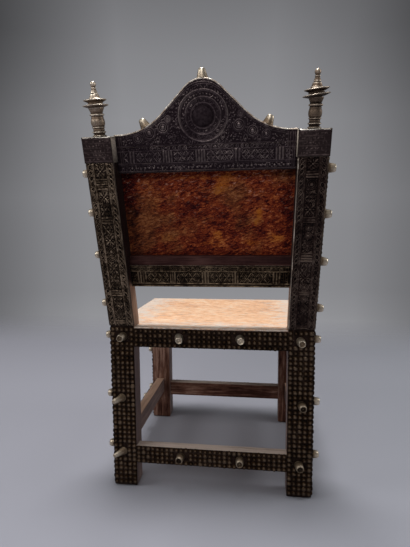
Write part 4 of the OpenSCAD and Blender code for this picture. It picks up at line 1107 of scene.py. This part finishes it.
# Each finial: how stout its baluster is, how far its lower disc hangs in degrees, and its tone; the
# right one's darker tone is painted shade.
FINIALS = {"left": (1.04, 1.0, 0.15), "right": (0.94, 8.5, -0.35)}
FINIAL_PARTS = ("baluster", "lower_disc", "collar", "upper_disc", "spire")
SMOOTHED = 9


def finials():
    """The finials, turned again with dirt in their grooves and rubbed rings."""
    for number, (side, (stout, hang, tone)) in enumerate(FINIALS.items()):
        rod = np.concatenate(solids_of(f"{side}_finial_rod"))
        middle = (rod.min(0) + rod.max(0)) / 2
        axis = np.linalg.eigh(np.cov((rod - middle).T))[1][:, 2]
        axis = axis if axis[2] > 0 else -axis
        for part in FINIAL_PARTS:
            node = f"{side}_finial_{part}"
            points = np.concatenate(solids_of(node))
            foot = middle + axis * ((points - middle) @ axis).min()
            height, reach = outline(points, foot, axis)
            smooth = np.convolve(np.pad(reach, SMOOTHED // 2, "edge"),
                                 np.ones(SMOOTHED) / SMOOTHED, "valid")
            lift = 0.45 + 0.55 * (reach - smooth)
            upright, lump = axis, 0.012
            if part == "baluster":
                reach = smooth + 1.7 * (reach - smooth)
                reach = reach * stout * (1 + 0.10 * np.clip(1 - height / 12, 0, 1))
            elif "disc" in part:
                lump, top = 0.03, height[-1]
                lift = np.interp(height, (0, 0.5 * top, 0.68 * top, top), (0.15, 0.35, 1.1, 0.7))
                turn = math.radians(hang * (1.0 if part == "lower_disc" else 0.8))
                upright = np.array(Matrix.Rotation(turn, 3, "Y") @ Vector(axis))
                foot = foot + (axis - upright) * top / 2
            elif part == "spire":
                lift = lift + 0.2
            turned = Turned(300 + 10 * number)
            profile = list(zip(reach, height, np.clip(lift, 0, 1.1)))
            turned.add(foot, upright, profile, FINIAL_SIDES, tone=tone, lump=lump)
            turned.piece(node + "_turned", "finials", "stud_brass", node)


nails()
studs()
finials()


# ---------------------------------------------------------------- hides


def hide_sheet(node, middle, normal, thick, material, lift=None, keep=None):
    """A closed sheet in place of a node: a grid of middle places and normals in millimetres."""
    rows, cols = middle.shape[:2]
    keep = np.ones((rows - 1, cols - 1), bool) if keep is None else keep
    count = rows * cols
    index = np.arange(count).reshape(rows, cols)
    quads = np.stack([index[:-1, :-1], index[:-1, 1:], index[1:, 1:], index[1:, :-1]], -1)[keep]
    faces = quads.tolist() + (quads[:, ::-1] + count).tolist()
    # edges that only one quad has are the sheet's rim
    rim = {}
    for quad in quads.tolist():
        for a, b in zip(quad, quad[1:] + quad[:1]):
            if (b, a) in rim:
                del rim[(b, a)]
            else:
                rim[(a, b)] = True
    faces += [[b, a, a + count, b + count] for a, b in rim]
    places = np.concatenate([(middle + normal * thick / 2).reshape(-1, 3),
                             (middle - normal * thick / 2).reshape(-1, 3)])
    used = np.unique(np.concatenate([np.asarray(face) for face in faces]))
    renumber = np.full(len(places), -1)
    renumber[used] = np.arange(len(used))
    faces = [[int(renumber[v]) for v in face] for face in faces]
    values = None if lift is None else np.tile(lift.ravel(), 2)[used]
    return piece(node + "_skin", places[used] / 1000, faces, material, values, None, (node,))


def ramp_in(distance, width):
    """From 0 at an edge to 1 at a distance of width inside it."""
    return np.clip(distance / width, 0, 1)


def seat():
    """The seat hide: a stiff skin over the rails, rolled down in front, a little slack inside."""
    front = BACK_Y - FRAME_D
    xs = np.concatenate([np.linspace(-FRAME_W / 2, -NOTCH_X, 15),
                         np.linspace(-NOTCH_X, NOTCH_X, 86)[1:-1],
                         np.linspace(NOTCH_X, FRAME_W / 2, 15)])
    bend = ROLL_R - SEAT_T / 2
    roll = [(front + SHEET_T - bend * math.cos(a), BEND_Z - ROLL_R + bend * math.sin(a))
            for a in np.radians(np.linspace(-80, 88, 14))]
    ys = np.concatenate([np.linspace(roll[-1][0] + 3, NOTCH_Y, 84),
                         np.linspace(NOTCH_Y, BACK_Y - 0.3, 11)[1:]])
    path = np.array(roll + [(y, BEND_Z - SEAT_T / 2) for y in ys])
    step = np.gradient(path, axis=0)
    step /= np.linalg.norm(step, axis=1)[:, None]
    x, y = np.meshgrid(xs, path[:, 0])
    z = np.broadcast_to(path[:, 1, None], x.shape)
    # slack inside the rails, and an uneven rear edge
    inside = eased(ramp_in(FRAME_W / 2 - 34 - np.abs(x), 60) * ramp_in(y - front - 34, 60)
                   * ramp_in(BACK_Y - 34 - y, 60))
    z = z - 2.6 * inside + 0.35 * inside * noise(x, y, 40, 3)
    y = y - ramp_in(y - BACK_Y + 12, 12) * (0.9 + 0.9 * noise(x, 0 * x, 7, 15))
    normal = np.stack(np.broadcast_arrays(0, -step[:, 1, None], step[:, 0, None]), -1)
    normal = np.broadcast_to(normal, (*x.shape, 3))
    cx, cy = (x[:-1, :-1] + x[1:, 1:]) / 2, (y[:-1, :-1] + y[1:, 1:]) / 2
    keep = ~((np.abs(cx) > NOTCH_X) & (cy > NOTCH_Y))
    made = hide_sheet("seat_hide", np.stack([x, y, z], -1), normal, SEAT_T, seat_hide_look(),
                      keep=keep)


# Painted light and shade on the back hide: where it is painted golden as if light came through, or
# darker where little does; the long dark ones along its edges are a painted shadow of the frame.
# For each: how far to the picture's right, s up, reach across and up, and strength.
GLOWS = ((-118, 293, 22, 16, 0.3), (-108, 262, 22, 12, 0.35), (-128, 215, 14, 22, 0.15),
         (-86, 190, 24, 10, 0.6), (-58, 205, 20, 9, 0.35), (36, 296, 20, 13, 0.7),
         (26, 286, 10, 14, 0.4), (22, 194, 12, 12, 0.6), (-4, 178, 26, 9, 0.45),
         (108, 242, 8, 16, 0.8), (97, 226, 9, 8, 0.9), (142, 192, 22, 12, 0.6),
         (88, 178, 24, 10, 0.6), (136, 262, 16, 20, 0.25), (30, 245, 40, 20, 0.15),
         (-30, 314, 50, 7, 0.4), (50, 312, 44, 8, 0.45), (-160, 240, 13, 110, -1.0),
         (-146, 330, 40, 22, -0.5), (-30, 235, 40, 26, -0.2), (78, 208, 26, 18, -0.35),
         (0, 334, 170, 9, -0.6), (164, 245, 9, 110, -0.9), (0, 154, 170, 7, -0.3))


def back():
    """The back hide: stiff old skin nailed to the frame's front, buckled between the nails."""
    ss = np.concatenate([np.linspace(HIDE_S[0] + 0.3, 151, 7), np.linspace(153, 327, 117),
                         np.linspace(329, HIDE_S[1] - 0.3, 7)])
    f, s = np.meshgrid(np.linspace(-1, 1, 230), ss)
    x = f * (inner_x(s, POST_D) + HIDE_LAP - 0.3)
    free = eased(ramp_in(inner_x(s, POST_D) - 2 - np.abs(x), 30) * ramp_in(s - 155, 30)
                 * ramp_in(325 - s, 30))
    buckle = (2.2 + 1.3 * noise(x, s, 70, 7) + 0.6 * noise(x + 0.5 * s, s * 1.6, 24, 8)
              + 0.28 * noise(x, s * 2.2, 9, 9))
    middle = in_back(-x, s, POST_D + HIDE_T / 2 - free * buckle) * 1000
    forwards = (in_back(0.0, 0.0, 1.0) - in_back(0.0, 0.0, 0.0)) * 1000
    normal = np.broadcast_to(forwards, middle.shape)
    glow = np.zeros_like(x)
    warp = 7 * noise(x, s, 22, 31), 6 * noise(x, s, 19, 32)
    for a, up, wide, high, strength in GLOWS:
        glow += strength * np.exp(-((x - a + warp[0]) / wide) ** 2
                                  - ((s - up + warp[1]) / high) ** 2)
    made = hide_sheet("back_hide", middle, normal, HIDE_T - 0.4, back_hide_look(), glow)


seat()
back()


# ---------------------------------------------------------------- finish of the CAD's own pieces

# The axis that the grain of each wooden piece follows.
GRAIN = {"rear_post": 2, "front_leg": 2, "seat_rail": 0, "stretcher": 0, "crest_rail": 0,
         "lower_back_rail": 0, "pegs": 0}
for name, made in nodes.items():
    look = BRASS["plain"]
    for key, axis in GRAIN.items():
        if key in name and "nails" not in name:
            sideways = name.startswith(("left_", "right_")) and key in ("seat_rail", "stretcher")
            look = wood_looks[1 if sideways else axis]
    if name == "lower_back_rail":
        look = bevel_look
    for place in made.material_slots:
        place.material = look


# ---------------------------------------------------------------- floor, light and camera

# How the camera is turned, in radians: off the chair's middle line, down and about its own axis.
YAW, PITCH, ROLL = -0.1278, 0.0996, -0.0073
CAMERA_PLACE, LENS = (-0.1013, 1.00294, 0.5762), 26.79
# Each lamp: place, what it is aimed at, width and height, and watts.
LAMPS = {"overhead": ((0.12, 0.26, 4.4), (0, 0, 0.3), (1.1, 0.85), 128),
         "left": ((1.65, 0.75, 1.5), (0, 0, 0.3), (0.7, 0.7), 9),
         "right": ((-1.9, -0.1, 1.4), (0, 0, 0.5), (0.7, 0.9), 11),
         "behind_camera": ((0.25, 2.1, 1.7), (0, 0, 0.4), (1.2, 0.8), 13)}
FLOOR_SHADED, FLOOR_PALE = (0.288, 0.295, 0.331), (0.343, 0.343, 0.390)
BACKDROP_TINT, FILL_COLOUR, FILL_STRENGTH = (0.985, 0.99, 1.045), (1.0, 0.98, 0.96), 0.08


def show(name, data):
    """A new object of the scene."""
    made = bpy.data.objects.new(name, data)
    bpy.context.scene.collection.objects.link(made)
    return made


def stage_floor():
    """A pale studio floor, with painted shade towards -x, that fades out into the backdrop."""
    look = Look("studio_floor")
    here = look.add("TexCoord", out="Object")
    # painted shade: the floor is darker towards -x, away from the light, with soft blotches
    shade = look.sum(look.level(look.axis(here, "X"), -0.9, 0.9),
                     look.sum(-0.5, look.noise(here, 1.1, 2, 0.4)), 0.4)
    mesh = bpy.data.meshes.new("studio_floor")
    mesh.from_pydata([(-3.2, -1.8, 0), (3.2, -1.8, 0), (3.2, 3, 0), (-3.2, 3, 0)], [],
                     [(0, 1, 2, 3)])
    mesh.materials.append(look.finish(
        Base_Color=look.ramp(shade, (0.1, FLOOR_SHADED), (0.75, FLOOR_PALE)), Roughness=0.85,
        Alpha=look.level(look.axis(here, "Y"), -1.7, -1.0), Specular_IOR_Level=0.15,
        Normal=look.bump(look.noise(here, 300, 3), 0.0002, 0.2)))
    made = show("studio_floor", mesh)
    made.location = (0, 0, -0.0005)


def backdrop():
    """The world: a grey backdrop to the camera, with painted shade towards its top and sides, and
    an even fill for everything else.
    """
    world = bpy.data.worlds.new("studio")
    world.use_nodes = True
    bpy.context.scene.world = world
    world.node_tree.nodes.clear()
    sky = Nodes(world.node_tree)
    where = sky.add("TexCoord", out="Generated")
    height = sky.axis(where, "Z")
    across = sky.axis(sky.add("Mapping", {"Vector": where, "Rotation": (0, 0, YAW)}), "X")

    def shade(source, low, high, *stops):
        """Grey levels along a source that runs from low to high."""
        return sky.ramp(sky.level(source, low, high),
                        *(((place - low) / (high - low), (level,) * 3) for place, level in stops))
    # painted shade: the backdrop darkens towards its top
    upright = shade(height, -0.3, 0.6, (-0.24, 0.34), (-0.19, 0.295), (-0.13, 0.265),
                    (0.0, 0.265), (0.25, 0.285), (0.38, 0.235), (0.52, 0.15))
    # painted shade: darker at both sides, most of all in the upper corners
    low = shade(across, -0.6, 0.6, (-0.46, 0.60), (-0.34, 0.90), (-0.2, 1.0), (0.27, 0.97),
                (0.36, 0.82), (0.45, 0.56))
    high = shade(across, -0.6, 0.6, (-0.46, 0.19), (-0.30, 0.70), (-0.15, 1.0), (0.18, 1.0),
                 (0.33, 0.50), (0.45, 0.13))
    sides = sky.mix(shade(height, -0.3, 0.6, (0.08, 0.0), (0.40, 1.0)), low, high)
    colour = sky.mix(1, sky.mix(1, upright, sides, "MULTIPLY"), BACKDROP_TINT, "MULTIPLY")
    rays = sky.tree.nodes.new("ShaderNodeLightPath").outputs
    mirrored = sky.larger(rays["Is Glossy Ray"], rays["Is Transmission Ray"])
    seen = sky.larger(rays["Is Camera Ray"], mirrored)
    fill_light = sky.add("Background", {"Color": FILL_COLOUR, "Strength": FILL_STRENGTH})
    both = sky.add("MixShader", {0: seen, 1: fill_light, 2: sky.add("Background", {0: colour})})
    sky.put(sky.tree.nodes.new("ShaderNodeOutputWorld").inputs[0], both)


def soft_light(name, place, aim, size, watts):
    data = bpy.data.lights.new(name, "AREA")
    data.shape, data.size, data.size_y, data.energy = "RECTANGLE", *size, watts
    made = show(name, data)
    made.location = place
    made.rotation_euler = (Vector(aim) - Vector(place)).to_track_quat("-Z", "Y").to_euler()
    made.visible_camera = False


stage_floor()
backdrop()
for name, lamp in LAMPS.items():
    soft_light(name, *lamp)

camera = show("camera", bpy.data.cameras.new("camera"))
bpy.context.scene.camera = camera
forward = Vector((-math.sin(YAW) * math.cos(PITCH), -math.cos(YAW) * math.cos(PITCH),
                  -math.sin(PITCH)))
right = Vector((-math.cos(YAW), math.sin(YAW), 0))
up = right.cross(forward)
right, up = (math.cos(ROLL) * right + math.sin(ROLL) * up,
             math.cos(ROLL) * up - math.sin(ROLL) * right)
turn = Matrix((right, up, -forward)).transposed().to_4x4()
camera.matrix_world = Matrix.Translation(CAMERA_PLACE) @ turn
camera.data.lens, camera.data.sensor_width, camera.data.sensor_fit = LENS, 36, "AUTO"
camera.data.clip_start, camera.data.clip_end = 0.05, 50

bpy.context.scene.view_settings.view_transform = "Standard"
